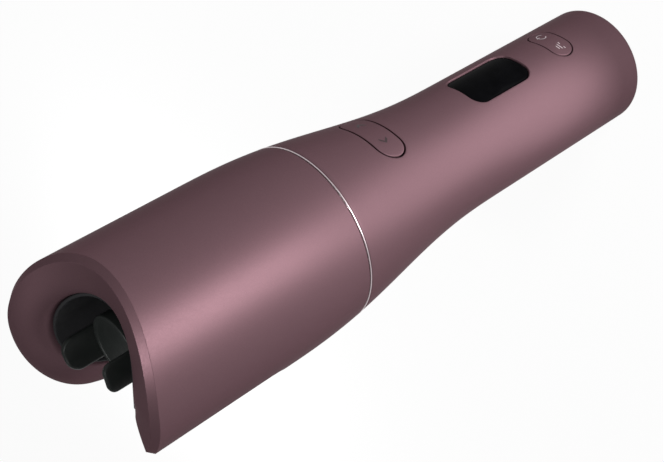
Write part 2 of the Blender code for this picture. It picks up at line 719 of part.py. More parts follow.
def gear_plate():
    radius = body_radius(PLATE_Z) - WALL - 2 * FIT
    thing = tube("gear_plate", radius, STEM_RADIUS + FIT, PLATE_Z, PLATE_TOP_Z, 48)
    low = PLATE_Z - OVERRUN
    high = PLATE_TOP_Z + OVERRUN
    nose = cylinder("nose_hole", NOSE_RADIUS + FIT, low, high, 24)
    nose.location = (0.0, MOTOR_PLACE, 0.0)
    combine(thing, nose)
    for number, (x, y) in enumerate(boss_places()):
        hole = cylinder(f"screw_hole_{number}", SCREW_RADIUS + FIT, low, high, 12)
        hole.location = (x, y, 0.0)
        combine(thing, hole)
    as_piece(thing, "frame_grey")


def screw_profile():
    under = PLATE_Z - FIT
    return [
        (0.0, PLATE_TOP_Z + SCREW_GRIP),
        (SCREW_RADIUS, PLATE_TOP_Z + SCREW_GRIP),
        (SCREW_RADIUS, under),
        (SCREW_HEAD_RADIUS, under),
        (SCREW_HEAD_RADIUS, under - SCREW_HEAD),
        (0.0, under - SCREW_HEAD),
    ]


def plate_screws():
    for number, (x, y) in enumerate(boss_places()):
        screw = turned(f"plate_screw_{number + 1}", screw_profile(), 12)
        screw.location = (x, y, 0.0)
        as_piece(screw, "steel")


def motor():
    top = PLATE_Z - FIT
    middle = top - GEARHEAD_LENGTH
    nose_top = PLATE_TOP_Z
    profile = [
        (NOSE_RADIUS, nose_top),
        (NOSE_RADIUS, top),
        (MOTOR_RADIUS, top),
        (MOTOR_RADIUS, middle),
        (SHAFT_RADIUS + FIT, middle),
        (SHAFT_RADIUS + FIT, nose_top),
    ]
    gearhead = turned("motor_gearhead", profile, 32, closed=True)
    gearhead.location = (0.0, MOTOR_PLACE, 0.0)
    as_piece(gearhead, "steel")
    foot = middle - FIT - MOTOR_LENGTH
    can = cylinder("motor_can", MOTOR_RADIUS, foot, middle - FIT, 32)
    for side in (-1, 1):
        reach = MOTOR_TERMINAL[2]
        centre = (side * MOTOR_TERMINAL_PLACE, 0.0, foot - reach / 2 + FIT)
        combine(can, box(f"terminal_{side}", (*MOTOR_TERMINAL[:2], reach + FIT), centre), "UNION")
        bpy.data.objects[f"terminal_{side}"].parent = can
    can.location = (0.0, MOTOR_PLACE, 0.0)
    as_piece(can, "steel")
    shaft = cylinder("motor_shaft", SHAFT_RADIUS, middle + FIT, GEAR_Z + PINION_WIDTH, 16)
    shaft.location = (0.0, MOTOR_PLACE, 0.0)
    as_piece(shaft, "steel")


def wall_outline(half_arc, half_height, corner, radius, grow=0.0):
    """A rounded rectangle on the wall, as seen from the front: x against height."""
    half_arc += grow
    half_height += grow
    corner = min(corner + grow, half_arc, half_height)
    steps = 6
    points = []
    for quarter, (sx, sz) in enumerate(((1, 1), (-1, 1), (-1, -1), (1, -1))):
        for i in range(steps + 1):
            angle = math.pi / 2 * (quarter + i / steps)
            arc = sx * (half_arc - corner) + corner * math.cos(angle)
            height = sz * (half_height - corner) + corner * math.sin(angle)
            points.append((radius * math.sin(arc / radius), height))
    return points


def front_prism(name, outline, height, back=0.0):
    """A solid that runs forwards along -Y from a depth, cut to an outline seen from the front."""
    thing = flat_solid(name, [outline], back, HEAD_RADIUS + OVERRUN)
    thing.rotation_euler = (math.radians(90.0), 0.0, 0.0)
    thing.location = (0.0, 0.0, height)
    return thing


def wall_band(name, low, high, inset, thickness):
    """A ring of the body's wall, set in from its surface."""
    steps = 4
    outer = body_side(low, high, inset, steps)
    inner = body_side(low, high, inset + thickness, steps)
    return turned(name, outer + list(reversed(inner)), closed=True)


def button_outline(half_arc, half_height, height, grow=0.0):
    return wall_outline(half_arc, half_height, half_height, body_radius(height), grow)


def handle_shell():
    outer = body_side(NECK_FOOT_Z, HANDLE_TOP_Z)
    edge_steps = 3
    edge = []
    for i in range(edge_steps + 1):
        angle = math.pi / 2 * i / edge_steps
        radius = HANDLE_RADIUS - END_ROUND * (1 - math.cos(angle))
        edge.append((radius, END_ROUND * (1 - math.sin(angle))))
    inner = list(reversed(body_side(NECK_FOOT_Z, HANDLE_TOP_Z, inset=WALL, steps=INNER_STEPS)))
    thing = turned("handle_shell", outer + edge + [(HANDLE_BORE, 0.0)] + inner, closed=True)
    window = wall_outline(WINDOW_HALF_ARC, WINDOW_HALF_HEIGHT, WINDOW_CORNER, HANDLE_RADIUS)
    combine(thing, front_prism("window_cut", window, WINDOW_Z))
    for name, height, half_arc, half_height in CONTROLS:
        hole = button_outline(half_arc, half_height, height)
        combine(thing, front_prism(name + "_cut", hole, height))
    as_piece(thing, "body_satin")


def display():
    outline = wall_outline(WINDOW_HALF_ARC, WINDOW_HALF_HEIGHT, WINDOW_CORNER, HANDLE_RADIUS, -FIT)
    low = WINDOW_Z - WINDOW_HALF_HEIGHT - OVERRUN
    high = WINDOW_Z + WINDOW_HALF_HEIGHT + OVERRUN
    lens = wall_band("display_window", low, high, WINDOW_RECESS, WINDOW_THICKNESS)
    combine(lens, front_prism("lens_outline", outline, WINDOW_Z), "INTERSECT")
    as_piece(lens, "window_black")
    back = BOARD_FRONT_Y - FIT
    middle = back - DISPLAY_SIZE[1] / 2
    module = box("display_module", DISPLAY_SIZE, (0.0, middle, WINDOW_Z))
    pocket_size = (GLASS_SIZE[0] + 2 * FIT, GLASS_SIZE[1] * 2, GLASS_SIZE[2] + 2 * FIT)
    combine(module, box("glass_pocket", pocket_size, (0.0, back - DISPLAY_SIZE[1], WINDOW_Z)))
    as_piece(module, "frame_grey")
    glass_y = back - DISPLAY_SIZE[1] + GLASS_SIZE[1] / 2 - FIT
    as_piece(box("display_glass", GLASS_SIZE, (0.0, glass_y, WINDOW_Z)), "window_black")


def pivot_depth(height):
    """How far in front of the axis a rocker's pivot lies."""
    return body_radius(height) - BUTTON_THICKNESS - PIVOT_DEPTH


def switch_front(height):
    """How far in front of the axis the switches' tops lie."""
    posts = body_radius(height) - BUTTON_THICKNESS - POST_LENGTH
    return posts - SWITCH_TRAVEL_GAP


def along_y(thing, x, depth, height):
    """Lay a piece made along Z on its side, so that its top points to the front."""
    thing.rotation_euler = (math.radians(90.0), 0.0, 0.0)
    thing.location = (x, -depth, height)
    return thing


def rocker(name, height, half_arc, half_height):
    """A button that follows the wall, with a post over each switch and a bored pivot boss."""
    outline = button_outline(half_arc, half_height, height, -BUTTON_GAP)
    low = height - half_height - OVERRUN
    high = height + half_height + OVERRUN
    thing = wall_band(name, low, high, 0.0, BUTTON_THICKNESS)
    combine(thing, front_prism(name + "_outline", outline, height), "INTERSECT")
    under = body_radius(height) - BUTTON_THICKNESS
    spread = half_arc * SWITCH_PLACE_SHARE
    for side in (-1, 1):
        post = cylinder(f"{name}_post_{side}", POST_RADIUS, -POST_LENGTH, BUTTON_THICKNESS / 2, 16)
        combine(thing, along_y(post, side * spread, under, height), "UNION")
    rib_half = half_height / 2
    boss = cylinder(name + "_boss", PIVOT_BOSS_RADIUS, height - rib_half, height + rib_half, 20)
    boss.location = (0.0, -pivot_depth(height), 0.0)
    combine(thing, boss, "UNION")
    reach = PIVOT_BOSS_RADIUS + BUTTON_THICKNESS / 2
    web_y = -pivot_depth(height) - reach / 2
    web = box(name + "_web", (PIVOT_BOSS_RADIUS, reach, 2 * rib_half), (0.0, web_y, height))
    combine(thing, web, "UNION")
    bore = cylinder(name + "_bore", PIVOT_RADIUS + FIT, low, high, 16)
    bore.location = (0.0, -pivot_depth(height), 0.0)
    combine(thing, bore)
    as_piece(thing, "body_satin")


def switches(name, height, half_arc, board_front):
    """Two push switches that stand on a board under a rocker's posts."""
    spread = half_arc * SWITCH_PLACE_SHARE
    foot = board_front + FIT
    top = switch_front(height)
    for side, word in ((-1, "left"), (1, "right")):
        thing = box(f"{name}_switch_{word}", (SWITCH_SIZE[0], top - SWITCH_STEM - foot, SWITCH_SIZE[1]),
                    (side * spread, -(top - SWITCH_STEM + foot) / 2, height))
        stem = cylinder(f"{name}_stem_{word}", SWITCH_STEM_RADIUS, -SWITCH_STEM, SWITCH_STEM, 12)
        along_y(stem, 0.0, (top - SWITCH_STEM - foot) / 2, 0.0)
        stem.parent = thing
        combine(thing, stem, "UNION")
        as_piece(thing, "frame_grey")


def pivot_pin(name, height, half_height):
    reach = half_height / 2 + FIT + EAR_THICKNESS
    pin = cylinder(name + "_pin", PIVOT_RADIUS, height - reach, height + reach, 16)
    pin.location = (0.0, -pivot_depth(height), 0.0)
    as_piece(pin, "steel")


def add_ears(frame, name, height, half_height, root_depth):
    """Two bored ears that hold a rocker's pin, one above and one below its boss."""
    pivot = pivot_depth(height)
    tip = pivot + PIVOT_RADIUS + FIT + EAR_RIM
    low = half_height / 2 + FIT
    for side, word in ((-1, "low"), (1, "high")):
        middle = height + side * (low + EAR_THICKNESS / 2)
        size = (EAR_WIDTH, tip - root_depth + FIT, EAR_THICKNESS)
        ear = box(f"{name}_ear_{word}", size, (0.0, -(tip + root_depth - FIT) / 2, middle))
        combine(frame, ear, "UNION")
    reach = low + 2 * EAR_THICKNESS
    bore = cylinder(name + "_ear_bore", PIVOT_RADIUS + FIT, height - reach, height + reach, 16)
    bore.location = (0.0, -pivot, 0.0)
    combine(frame, bore)


def direction_carrier():
    """Small board under the direction button and the frame that holds it and the pin."""
    top = switch_front(DIRECTION_Z)
    board_front = top - SWITCH_STEM - SWITCH_SIZE[2]
    half = DIRECTION_HALF_HEIGHT + SMALL_BOARD_MARGIN
    board_back = board_front - BOARD_THICKNESS
    size = (2 * SMALL_BOARD_HALF_WIDTH, BOARD_THICKNESS, 2 * half)
    board = box("direction_board", size, (0.0, -(board_front + board_back) / 2, DIRECTION_Z))
    opening = (EAR_WIDTH + 2 * FIT, BOARD_THICKNESS + OVERRUN, 2 * half - 2 * SMALL_BOARD_MARGIN)
    combine(board, box("ear_window", opening, (0.0, -(board_front + board_back) / 2, DIRECTION_Z)))
    as_piece(board, "board_green")
    frame_front = board_back - FIT
    frame_back = frame_front - FRAME_THICKNESS
    wall = body_radius(DIRECTION_Z - half) - WALL - FIT
    half_width = math.sqrt(wall ** 2 - frame_front ** 2) - FIT
    size = (2 * half_width, FRAME_THICKNESS, 2 * half)
    frame = box("direction_frame", size, (0.0, -(frame_front + frame_back) / 2, DIRECTION_Z))
    add_ears(frame, "direction", DIRECTION_Z, DIRECTION_HALF_HEIGHT, frame_front)
    as_piece(frame, "frame_grey")
    switches("direction", DIRECTION_Z, DIRECTION_HALF_ARC, board_front)
    pivot_pin("direction", DIRECTION_Z, DIRECTION_HALF_HEIGHT)


def control_board():
    """Long board behind the display, with the function button's switches on it."""
    front = -BOARD_FRONT_Y
    length = BOARD_HIGH_Z - BOARD_LOW_Z
    middle = (BOARD_LOW_Z + BOARD_HIGH_Z) / 2
    size = (2 * BOARD_HALF_WIDTH, BOARD_THICKNESS, length)
    centre_y = -(front - BOARD_THICKNESS / 2)
    board = box("control_board", size, (0.0, centre_y, middle))
    ear_reach = FUNCTION_HALF_HEIGHT + EAR_THICKNESS
    opening = (EAR_WIDTH + 2 * FIT, BOARD_THICKNESS + OVERRUN, 2 * ear_reach)
    combine(board, box("board_window", opening, (0.0, centre_y, FUNCTION_Z)))
    as_piece(board, "board_green")
    switches("function", FUNCTION_Z, FUNCTION_HALF_ARC, front)
    pivot_pin("function", FUNCTION_Z, FUNCTION_HALF_HEIGHT)


def battery_tray():
    """Plate between board and cells, with end walls, board posts and the function pin's ears."""
    low = TRAY_LOW_Z
    high = TRAY_TOP_Z
    front_y = TRAY_BACK_Y - TRAY_THICKNESS
    half_width = math.sqrt((HANDLE_BORE - FIT) ** 2 - front_y ** 2) - FIT
    middle_z = (low + high) / 2
    size = (2 * half_width, TRAY_THICKNESS, high - low)
    tray = box("battery_tray", size, (0.0, (front_y + TRAY_BACK_Y) / 2, middle_z))
    wall_back_y = CELL_PLACE[1] + CELL_RADIUS / 2
    wall_half = math.sqrt((HANDLE_BORE - FIT) ** 2 - max(abs(front_y), wall_back_y) ** 2) - FIT
    depth = wall_back_y - front_y
    for word, edge in (("foot", low + TRAY_END / 2), ("head", high - TRAY_END / 2)):
        wall = box(f"tray_{word}", (2 * wall_half, depth, TRAY_END), (0.0, front_y + depth / 2, edge))
        combine(tray, wall, "UNION")
    board_back = -BOARD_FRONT_Y - BOARD_THICKNESS
    post_low = -front_y - TRAY_THICKNESS / 2
    post_x = BOARD_HALF_WIDTH - 2 * TRAY_POST_RADIUS
    post_length = board_back - FIT - post_low
    post_inset = TRAY_END + 2 * TRAY_POST_RADIUS
    for post_z in (BOARD_LOW_Z + post_inset, high - post_inset):
        for side in (-1, 1):
            post = cylinder("tray_post", TRAY_POST_RADIUS, 0.0, post_length, 12)
            combine(tray, along_y(post, side * post_x, post_low, post_z), "UNION")
    add_ears(tray, "function", FUNCTION_Z, FUNCTION_HALF_HEIGHT, post_low)
    as_piece(tray, "frame_grey")


def battery_cells():
    for side, word in ((-1, "left"), (1, "right")):
        top = CELL_FOOT_Z + CELL_LENGTH
        profile = [
            (0.0, top + CELL_TIP),
            (CELL_TIP_RADIUS, top + CELL_TIP),
            (CELL_TIP_RADIUS, top),
            (CELL_RADIUS, top),
            (CELL_RADIUS, CELL_FOOT_Z),
            (0.0, CELL_FOOT_Z),
        ]
        cell = turned(f"battery_cell_{word}", profile, 24)
        cell.location = (side * CELL_PLACE[0], CELL_PLACE[1], 0.0)
        as_piece(cell, "cell_wrap")
    strip_middle = STRIP_Z + STRIP_THICKNESS / 2
    size = (2 * CELL_PLACE[0] + CELL_TIP_RADIUS, 2 * STRIP_HALF_HEIGHT, STRIP_THICKNESS)
    as_piece(box("battery_link", size, (0.0, CELL_PLACE[1], strip_middle)), "steel")


def pill(half_width, half_height, grow=0.0):
    """A flat round-ended outline for the charging socket."""
    half_width += grow
    half_height += grow
    steps = 6
    points = []
    for side in (1, -1):
        for i in range(steps + 1):
            angle = math.pi * i / steps - math.pi / 2
            x = half_width - half_height + half_height * math.cos(angle)
            points.append((side * x, side * half_height * math.sin(angle)))
    return points


def flat_end():
    """Cap in the handle's end, the charging socket behind it and the socket's board."""
    cap = cylinder("base_cap", HANDLE_BORE - FIT, 0.0, CAP_PLATE, 48)
    hole = pill(CHARGE_HALF_WIDTH, CHARGE_HALF_HEIGHT, FIT)
    combine(cap, flat_solid("socket_cut", [hole], -OVERRUN, CAP_PLATE + OVERRUN))
    as_piece(cap, "body_satin")
    outer = pill(CHARGE_HALF_WIDTH, CHARGE_HALF_HEIGHT)
    low = CAP_PLATE / 2
    socket = flat_solid("charge_socket", [outer], low, low + CHARGE_LENGTH)
    mouth = pill(CHARGE_HALF_WIDTH, CHARGE_HALF_HEIGHT, -CHARGE_WALL)
    combine(socket, flat_solid("socket_mouth", [mouth], low - OVERRUN, low + CHARGE_DEPTH))
    as_piece(socket, "steel")
    board_z = low + CHARGE_LENGTH + FIT + CHARGE_BOARD_SIZE[2] / 2
    as_piece(box("charge_board", CHARGE_BOARD_SIZE, (0.0, 0.0, board_z)), "board_green")


def build():
    head_shell()
    chamber_liner()
    seam_ring()
    rotor_fork()
    rotor_bush()
    gears()
    barrel_stem()
    barrel()
    gear_plate()
    plate_screws()
    motor()
    handle_shell()
    display()
    for control in CONTROLS:
        rocker(*control)
    direction_carrier()
    control_board()
    battery_tray()
    battery_cells()
    flat_end()


CONTROLS = (
    ("direction_button", DIRECTION_Z, DIRECTION_HALF_ARC, DIRECTION_HALF_HEIGHT),
    ("function_button", FUNCTION_Z, FUNCTION_HALF_ARC, FUNCTION_HALF_HEIGHT),
)

clear_scene()
PIECES = new_collection("automatic_hair_curler")
CUTTERS = new_collection("cutters")
build()
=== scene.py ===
"""Looks of the cordless automatic hair curler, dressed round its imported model.

Metres in the model's own frame: the curler stands on its handle's flat end, +Z runs to the
tip and the button side faces -Y. A turn is an angle about the axis in degrees, 0 at the
button side and growing towards -X, the side of the flap.

A skin is a grid of points: its columns stand side by side, and the points of a column are
joined to those of the next one by quads. Each section below makes one sub-part.
"""
import math
from collections import namedtuple

import bmesh
import bpy
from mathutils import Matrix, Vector, geometry


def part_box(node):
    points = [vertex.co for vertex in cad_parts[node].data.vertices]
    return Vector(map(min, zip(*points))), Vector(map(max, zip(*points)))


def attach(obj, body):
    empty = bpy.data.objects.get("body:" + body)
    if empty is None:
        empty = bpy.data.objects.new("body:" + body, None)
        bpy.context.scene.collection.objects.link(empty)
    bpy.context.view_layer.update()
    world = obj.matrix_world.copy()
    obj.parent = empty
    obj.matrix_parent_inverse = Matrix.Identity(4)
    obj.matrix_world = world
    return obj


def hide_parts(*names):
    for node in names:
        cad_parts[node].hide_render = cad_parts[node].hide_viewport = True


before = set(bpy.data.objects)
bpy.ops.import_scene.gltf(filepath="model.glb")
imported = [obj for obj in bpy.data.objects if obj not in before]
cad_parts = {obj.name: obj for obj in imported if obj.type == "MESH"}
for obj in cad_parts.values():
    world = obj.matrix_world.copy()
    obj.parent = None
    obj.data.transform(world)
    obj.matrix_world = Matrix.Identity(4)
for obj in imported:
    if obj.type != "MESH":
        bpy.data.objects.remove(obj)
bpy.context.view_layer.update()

MM = 0.001

# The body's outline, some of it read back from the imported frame
FIT = 0.3 * MM
WALL = 2.5 * MM
RING_LOW, RING_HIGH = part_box("seam_ring")
HEAD_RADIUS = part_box("head_shell")[1].x
HANDLE_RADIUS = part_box("base_cap")[1].x + FIT + WALL
SEAM_Z = (RING_LOW.z + RING_HIGH.z) / 2
SEAM_LINE = 0.9 * MM
HEAD_FOOT_Z = SEAM_Z + SEAM_LINE / 2
HANDLE_TOP_Z = SEAM_Z - SEAM_LINE / 2
NECK_FOOT_Z = 75.5 * MM
NECK_TOP_RISE = 33.0 * MM
NECK_TOP_Z = SEAM_Z + NECK_TOP_RISE
END_ROUND = 1.2 * MM

# The mouth's rim: rises are above the seam, turns run from the lip's edge over the lip and
# the saddle to the flap's tip
LIP_RISE = 90.6 * MM
SADDLE_RISE = 76.2 * MM
FLAP_RISE = 84.4 * MM
LIP_EDGE_TURN = -151.0
LIP_TURN = -94.5
SADDLE_TURN = 4.0
FLAP_FULL_TURN = 94.0
FLAP_TIP_TURN = 119.0
SLOT_END_TURN = LIP_EDGE_TURN + 360
LIP_CORNER = 23.0 * MM
LIP_CORNER_POWER = 2.25
RIM_CHAMFER = 2.0 * MM
LIP_ROLL = 8.0 * MM
SADDLE_ROLL = 1.2 * MM
SKIN_BEVEL = 0.1 * MM

# The chamber, which widens towards the flap, its black liner and the hair slot
CHAMBER_SHARE = 0.6
CHAMBER_WIDE_SHARE = 0.69
CHAMBER_RADIUS = CHAMBER_SHARE * HEAD_RADIUS
CHAMBER_WIDE_RADIUS = CHAMBER_WIDE_SHARE * HEAD_RADIUS
WIDE_FULL_TURN = 60.0
TAPER_BLEND_TURN = 70.0
TAPER_TURN = 100.0
CHAMBER_FLOOR_RISE = 23.5 * MM
CHAMBER_FLOOR_Z = SEAM_Z + CHAMBER_FLOOR_RISE
SLOT_FOOT_RISE = 31.5 * MM
SLOT_FOOT_Z = SEAM_Z + SLOT_FOOT_RISE
SLOT_CORNER = 8.0 * MM
SLOT_HIGH_Z = SLOT_FOOT_Z + SLOT_CORNER
NECK_HOLE = 9.1 * MM
LINER_WALL = 1.2 * MM
LINER_EDGE = 0.5 * MM
LINER_TOP_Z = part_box("chamber_liner")[1].z
LINER_MARGIN_TURN = 4.0

# The ring in the seam
RING_DEPTH = 3.0 * MM
RING_SINK_SHARE = 0.4

# The fork
Prong = namedtuple("Prong", "turn half_angle longer corner_share")
PRONG_INNER_SHARE = 0.4
PRONG_OUTER_SHARE = 0.46
PRONG_INNER_RADIUS = PRONG_INNER_SHARE * HEAD_RADIUS
PRONG_OUTER_RADIUS = PRONG_OUTER_SHARE * HEAD_RADIUS
PRONG_MEAN_RADIUS = (PRONG_INNER_RADIUS + PRONG_OUTER_RADIUS) / 2
PRONG_TOP_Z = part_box("rotor_fork")[1].z
PRONG_EDGE = 0.7 * MM
# The prongs stand where the photograph has them. Longer is how far one reaches past the top
# of the solids' fork, and the corner share is of half its width
NEAR_PRONG = Prong(turn=72.0, half_angle=19.0, longer=1.2 * MM, corner_share=0.65)
FAR_PRONG = Prong(turn=241.0, half_angle=22.0, longer=-0.8 * MM, corner_share=0.8)
DISC_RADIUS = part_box("rotor_fork")[1].x
DISC_BORE = 6.5 * MM
DISC_THICKNESS = 2.8 * MM
DISC_EDGE = 0.5 * MM

# The barrel and its nose, whose spigot, rim and step are set in from the barrel's radius
BARREL_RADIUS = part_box("heated_barrel")[1].x
BARREL_WALL = 1.8 * MM
BARREL_EDGE = 0.2 * MM
NOSE_SPIGOT = 2.1 * MM
NOSE_RIM = 1.2 * MM
NOSE_STEP = 1.6 * MM
NOSE_STEP_DROP = 0.4 * MM
NOSE_MIDDLE_RADIUS = 1.0 * MM
NOSE_MIDDLE_DROP = 0.2 * MM
NOSE_EDGE = 0.5 * MM

# Openings in the handle's wall: middle height, half width along the wall, half height, corner
Opening = namedtuple("Opening", "middle half_arc half_height corner")
DIRECTION_DROP = 30.8 * MM
WINDOW = Opening(64.6 * MM, 9.3 * MM, 15.4 * MM, 5.4 * MM)
DIRECTION = Opening(SEAM_Z - DIRECTION_DROP, 13.6 * MM, 6.1 * MM, 6.1 * MM)
FUNCTION = Opening(29.4 * MM, 9.5 * MM, 5.4 * MM, 5.4 * MM)
OPENINGS = (WINDOW, DIRECTION, FUNCTION)
FRONT_TURN = 66.0
EDGE_ROUND = 0.3 * MM
LOOP_STEP = 0.4 * MM
CAP_STEP = 0.6 * MM
OPENING_CLEAR = 0.3 * MM
BUTTON_GAP = 0.4 * MM
LARGE_BUTTON_GAP = 0.55 * MM
BUTTON_SIDE = 2.2 * MM
WINDOW_RECESS = 0.6 * MM
WINDOW_SIDE = 2.0 * MM
BORE_SHOWN = 3.0 * MM
TOP_BEVEL_SHARE = 0.3
# Rings of the flat end, from the socket's opening out to the rounded edge
PLATE_RING_SHARES = (0.35, 0.7, 1.0)

# Printed marks: the arrows of the direction key, the power sign and the level's bars
MARK_LIFT = 0.06 * MM
ARROW_ARC = 6.2 * MM
ARROW_REACH = 1.7 * MM
ARROW_STROKE = 0.75 * MM
SLANT_SHARE = 1.4
MARK_ARC = 4.4 * MM
MARK_STROKE = 0.3 * MM
POWER_RADIUS = 1.6 * MM
POWER_FROM, POWER_TO = -60.0, 240.0
LEVEL_STEP = 1.2 * MM
LEVEL_REACH = 1.9 * MM

# The photograph's camera
CAMERA_PLACE = (-0.2263, -0.25442, 0.36186)
CAMERA_TURN = (-38.8746, 46.2097, -179.1975)
CAMERA_LENS = 65.863
CAMERA_SENSOR = 36.0
CAMERA_CLIP = 0.01

# Studio: angles in degrees about the curler, distances and sizes in metres, powers in watts
Lamp = namedtuple("Lamp", "name azimuth elevation distance size power aim_height")
LAMPS = (
    Lamp("key_box", -55.0, -20.0, 0.40, (0.18, 0.11), 1.5, 0.22),
    Lamp("edge_box", -37.0, 66.0, 0.50, (0.06, 0.06), 2.2, 0.235),
)
STRIP_AZIMUTH = -60.0
STRIP_DISTANCE = 0.18
STRIP_HEIGHT = 0.01
STRIP_SIZE = (0.14, 0.28)
STRIP_POWER = 0.38
GLOW_AZIMUTH = 139.0
GLOW_DISTANCE = 0.45
GLOW_HEIGHT = 0.09
GLOW_RADIUS = 0.06
GLOW_POWER = 3.0
FLOOR_LEVEL = -0.05 * MM
FLOOR_FLAT = 2.4
BACKDROP_CURVE = 1.0
FLOOR_GREY = 0.8
FLOOR_WHITE_SHARE = 0.95
WORLD_LEVEL = 0.15

# How finely the skins are divided: columns stand side by side, rows follow each other
LIP_COLUMNS, WALL_COLUMNS, SLOT_COLUMNS = 40, 224, 90
NECK_ROWS, WELL_ROWS, FLOOR_ROWS = 26, 10, 6
RIM_ROWS, ROLL_ROWS, CHAMBER_ROWS, BAND_ROWS = 24, 20, 20, 4
LINER_COLUMNS = 200
FRONT_COLUMNS, BACK_COLUMNS, HANDLE_ROWS = 88, 152, 168
PRONG_ROWS, PRONG_END_ROWS = 24, 26

# Points nearer than these are one point
WELD = 0.002 * MM
PATCH_WELD = 0.0001 * MM
# A rounding takes at most this share of a side, or of a half thickness
SIDE_SHARE = 0.49
THICKNESS_SHARE = 0.95
# Signs of x and y in the four quarters of a box, anticlockwise from the right
QUARTERS = ((1, 1), (-1, 1), (-1, -1), (1, -1))


# Shapes that the model's source also uses

def smooth(share):
    """Ease from 0 to 1 without a break in slope or curvature."""
    share = min(max(share, 0.0), 1.0)
    return share ** 3 * (10 - 15 * share + 6 * share ** 2)


def swing(share):
    """Ease from 0 to 1 as half a cosine wave."""
    share = min(max(share, 0.0), 1.0)
    return (1 - math.cos(math.pi * share)) / 2


def place(radius, turn):
    """(x, y) at a radius and a turn."""
    angle = math.radians(turn)
    return -radius * math.sin(angle), -radius * math.cos(angle)


def body_radius(height):
    """Outer radius of the handle, the neck and the head."""
    share = (height - NECK_FOOT_Z) / (NECK_TOP_Z - NECK_FOOT_Z)
    return HANDLE_RADIUS + (HEAD_RADIUS - HANDLE_RADIUS) * smooth(share)


def rim_height(turn):
    """Height of the mouth's outer edge."""
    if turn < LIP_TURN:
        share = (LIP_TURN - turn) / (LIP_TURN - LIP_EDGE_TURN)
        curve = max(0.0, 1 - share ** LIP_CORNER_POWER) ** (1 / LIP_CORNER_POWER)
        return SEAM_Z + LIP_RISE - LIP_CORNER * (1 - curve)
    if turn < SADDLE_TURN:
        share = (turn - LIP_TURN) / (SADDLE_TURN - LIP_TURN)
        return SEAM_Z + LIP_RISE + (SADDLE_RISE - LIP_RISE) * swing(share)
    share = (turn - SADDLE_TURN) / (FLAP_FULL_TURN - SADDLE_TURN)
    return SEAM_Z + SADDLE_RISE + (FLAP_RISE - SADDLE_RISE) * swing(share)


def roll_height(turn):
    """Height over which the mouth's face rolls into the chamber."""
    share = (turn - LIP_TURN) / (SADDLE_TURN - LIP_TURN)
    return LIP_ROLL + (SADDLE_ROLL - LIP_ROLL) * swing(share)


def chamber_radius(turn):
    """Inner radius of the head, which opens towards the flap and closes again in the slot."""
    wider = CHAMBER_WIDE_RADIUS - CHAMBER_RADIUS
    opening = swing((turn - SADDLE_TURN) / (WIDE_FULL_TURN - SADDLE_TURN))
    closing = swing((turn - TAPER_TURN) / (SLOT_END_TURN - TAPER_TURN))
    return CHAMBER_RADIUS + wider * (opening - closing)


def spread(low, high, count):
    """Even steps from low to high, both ends included."""
    return [low + (high - low) * i / count for i in range(count + 1)]


# Materials

class Look:
    """A procedural material: a Principled shader fed by textures in the piece's own space."""

    def __init__(self, name, colour, roughness, metallic=0.0, specular=0.5, coat=0.0):
        self.material = bpy.data.materials.new(name)
        self.material.use_nodes = True
        self.tree = self.material.node_tree
        self.shader = self.tree.nodes["Principled BSDF"]
        self.colour = colour
        self.shader.inputs["Base Color"].default_value = (*colour, 1.0)
        self.shader.inputs["Roughness"].default_value = roughness
        self.shader.inputs["Metallic"].default_value = metallic
        self.shader.inputs["Specular IOR Level"].default_value = specular
        self.shader.inputs["Coat Weight"].default_value = coat
        self.shader.inputs["Coat Roughness"].default_value = 0.08
        self.space = self.tree.nodes.new("ShaderNodeTexCoord").outputs["Object"]
        self.relief = None

    def link(self, source, target):
        self.tree.links.new(source, target)

    def stretched(self, scale):
        mapping = self.tree.nodes.new("ShaderNodeMapping")
        mapping.inputs["Scale"].default_value = scale
        self.link(self.space, mapping.inputs["Vector"])
        return mapping.outputs["Vector"]

    def noise(self, grain, detail=3.0, stretch=(1.0, 1.0, 1.0)):
        """Noise whose features are about one grain across, in metres."""
        node = self.tree.nodes.new("ShaderNodeTexNoise")
        node.inputs["Scale"].default_value = 1.0 / grain
        node.inputs["Detail"].default_value = detail
        self.link(self.stretched(stretch), node.inputs["Vector"])
        return node.outputs["Fac"]

    def cells(self, grain):
        """Cells that are about one grain across, in metres."""
        node = self.tree.nodes.new("ShaderNodeTexVoronoi")
        node.inputs["Scale"].default_value = 1.0 / grain
        self.link(self.space, node.inputs["Vector"])
        return node.outputs["Distance"]

    def ramp(self, source, low, high, low_at=0.35, high_at=0.65):
        """Values from low to high while the source goes from low_at to high_at."""
        node = self.tree.nodes.new("ShaderNodeMapRange")
        node.inputs["From Min"].default_value = low_at
        node.inputs["From Max"].default_value = high_at
        node.inputs["To Min"].default_value = low
        node.inputs["To Max"].default_value = high
        self.link(source, node.inputs["Value"])
        return node.outputs["Result"]

    def vary_roughness(self, source, low, high):
        self.link(self.ramp(source, low, high), self.shader.inputs["Roughness"])

    def vary_colour(self, source, other, low_at=0.35, high_at=0.65):
        """Blend from the base colour to another one by a texture."""
        mix = self.tree.nodes.new("ShaderNodeMix")
        mix.data_type = "RGBA"
        mix.inputs["A"].default_value = (*self.colour, 1.0)
        mix.inputs["B"].default_value = (*other, 1.0)
        self.link(self.ramp(source, 0.0, 1.0, low_at, high_at), mix.inputs["Factor"])
        self.link(mix.outputs["Result"], self.shader.inputs["Base Color"])

    def bump(self, source, depth):
        """Relief of a given depth in metres, added to what is there."""
        node = self.tree.nodes.new("ShaderNodeBump")
        node.inputs["Distance"].default_value = depth
        node.inputs["Strength"].default_value = 1.0
        self.link(source, node.inputs["Height"])
        if self.relief:
            self.link(self.relief, node.inputs["Normal"])
        self.relief = node.outputs["Normal"]
        self.link(self.relief, self.shader.inputs["Normal"])


def tinted(colour, factor):
    return tuple(min(1.0, channel * factor) for channel in colour)


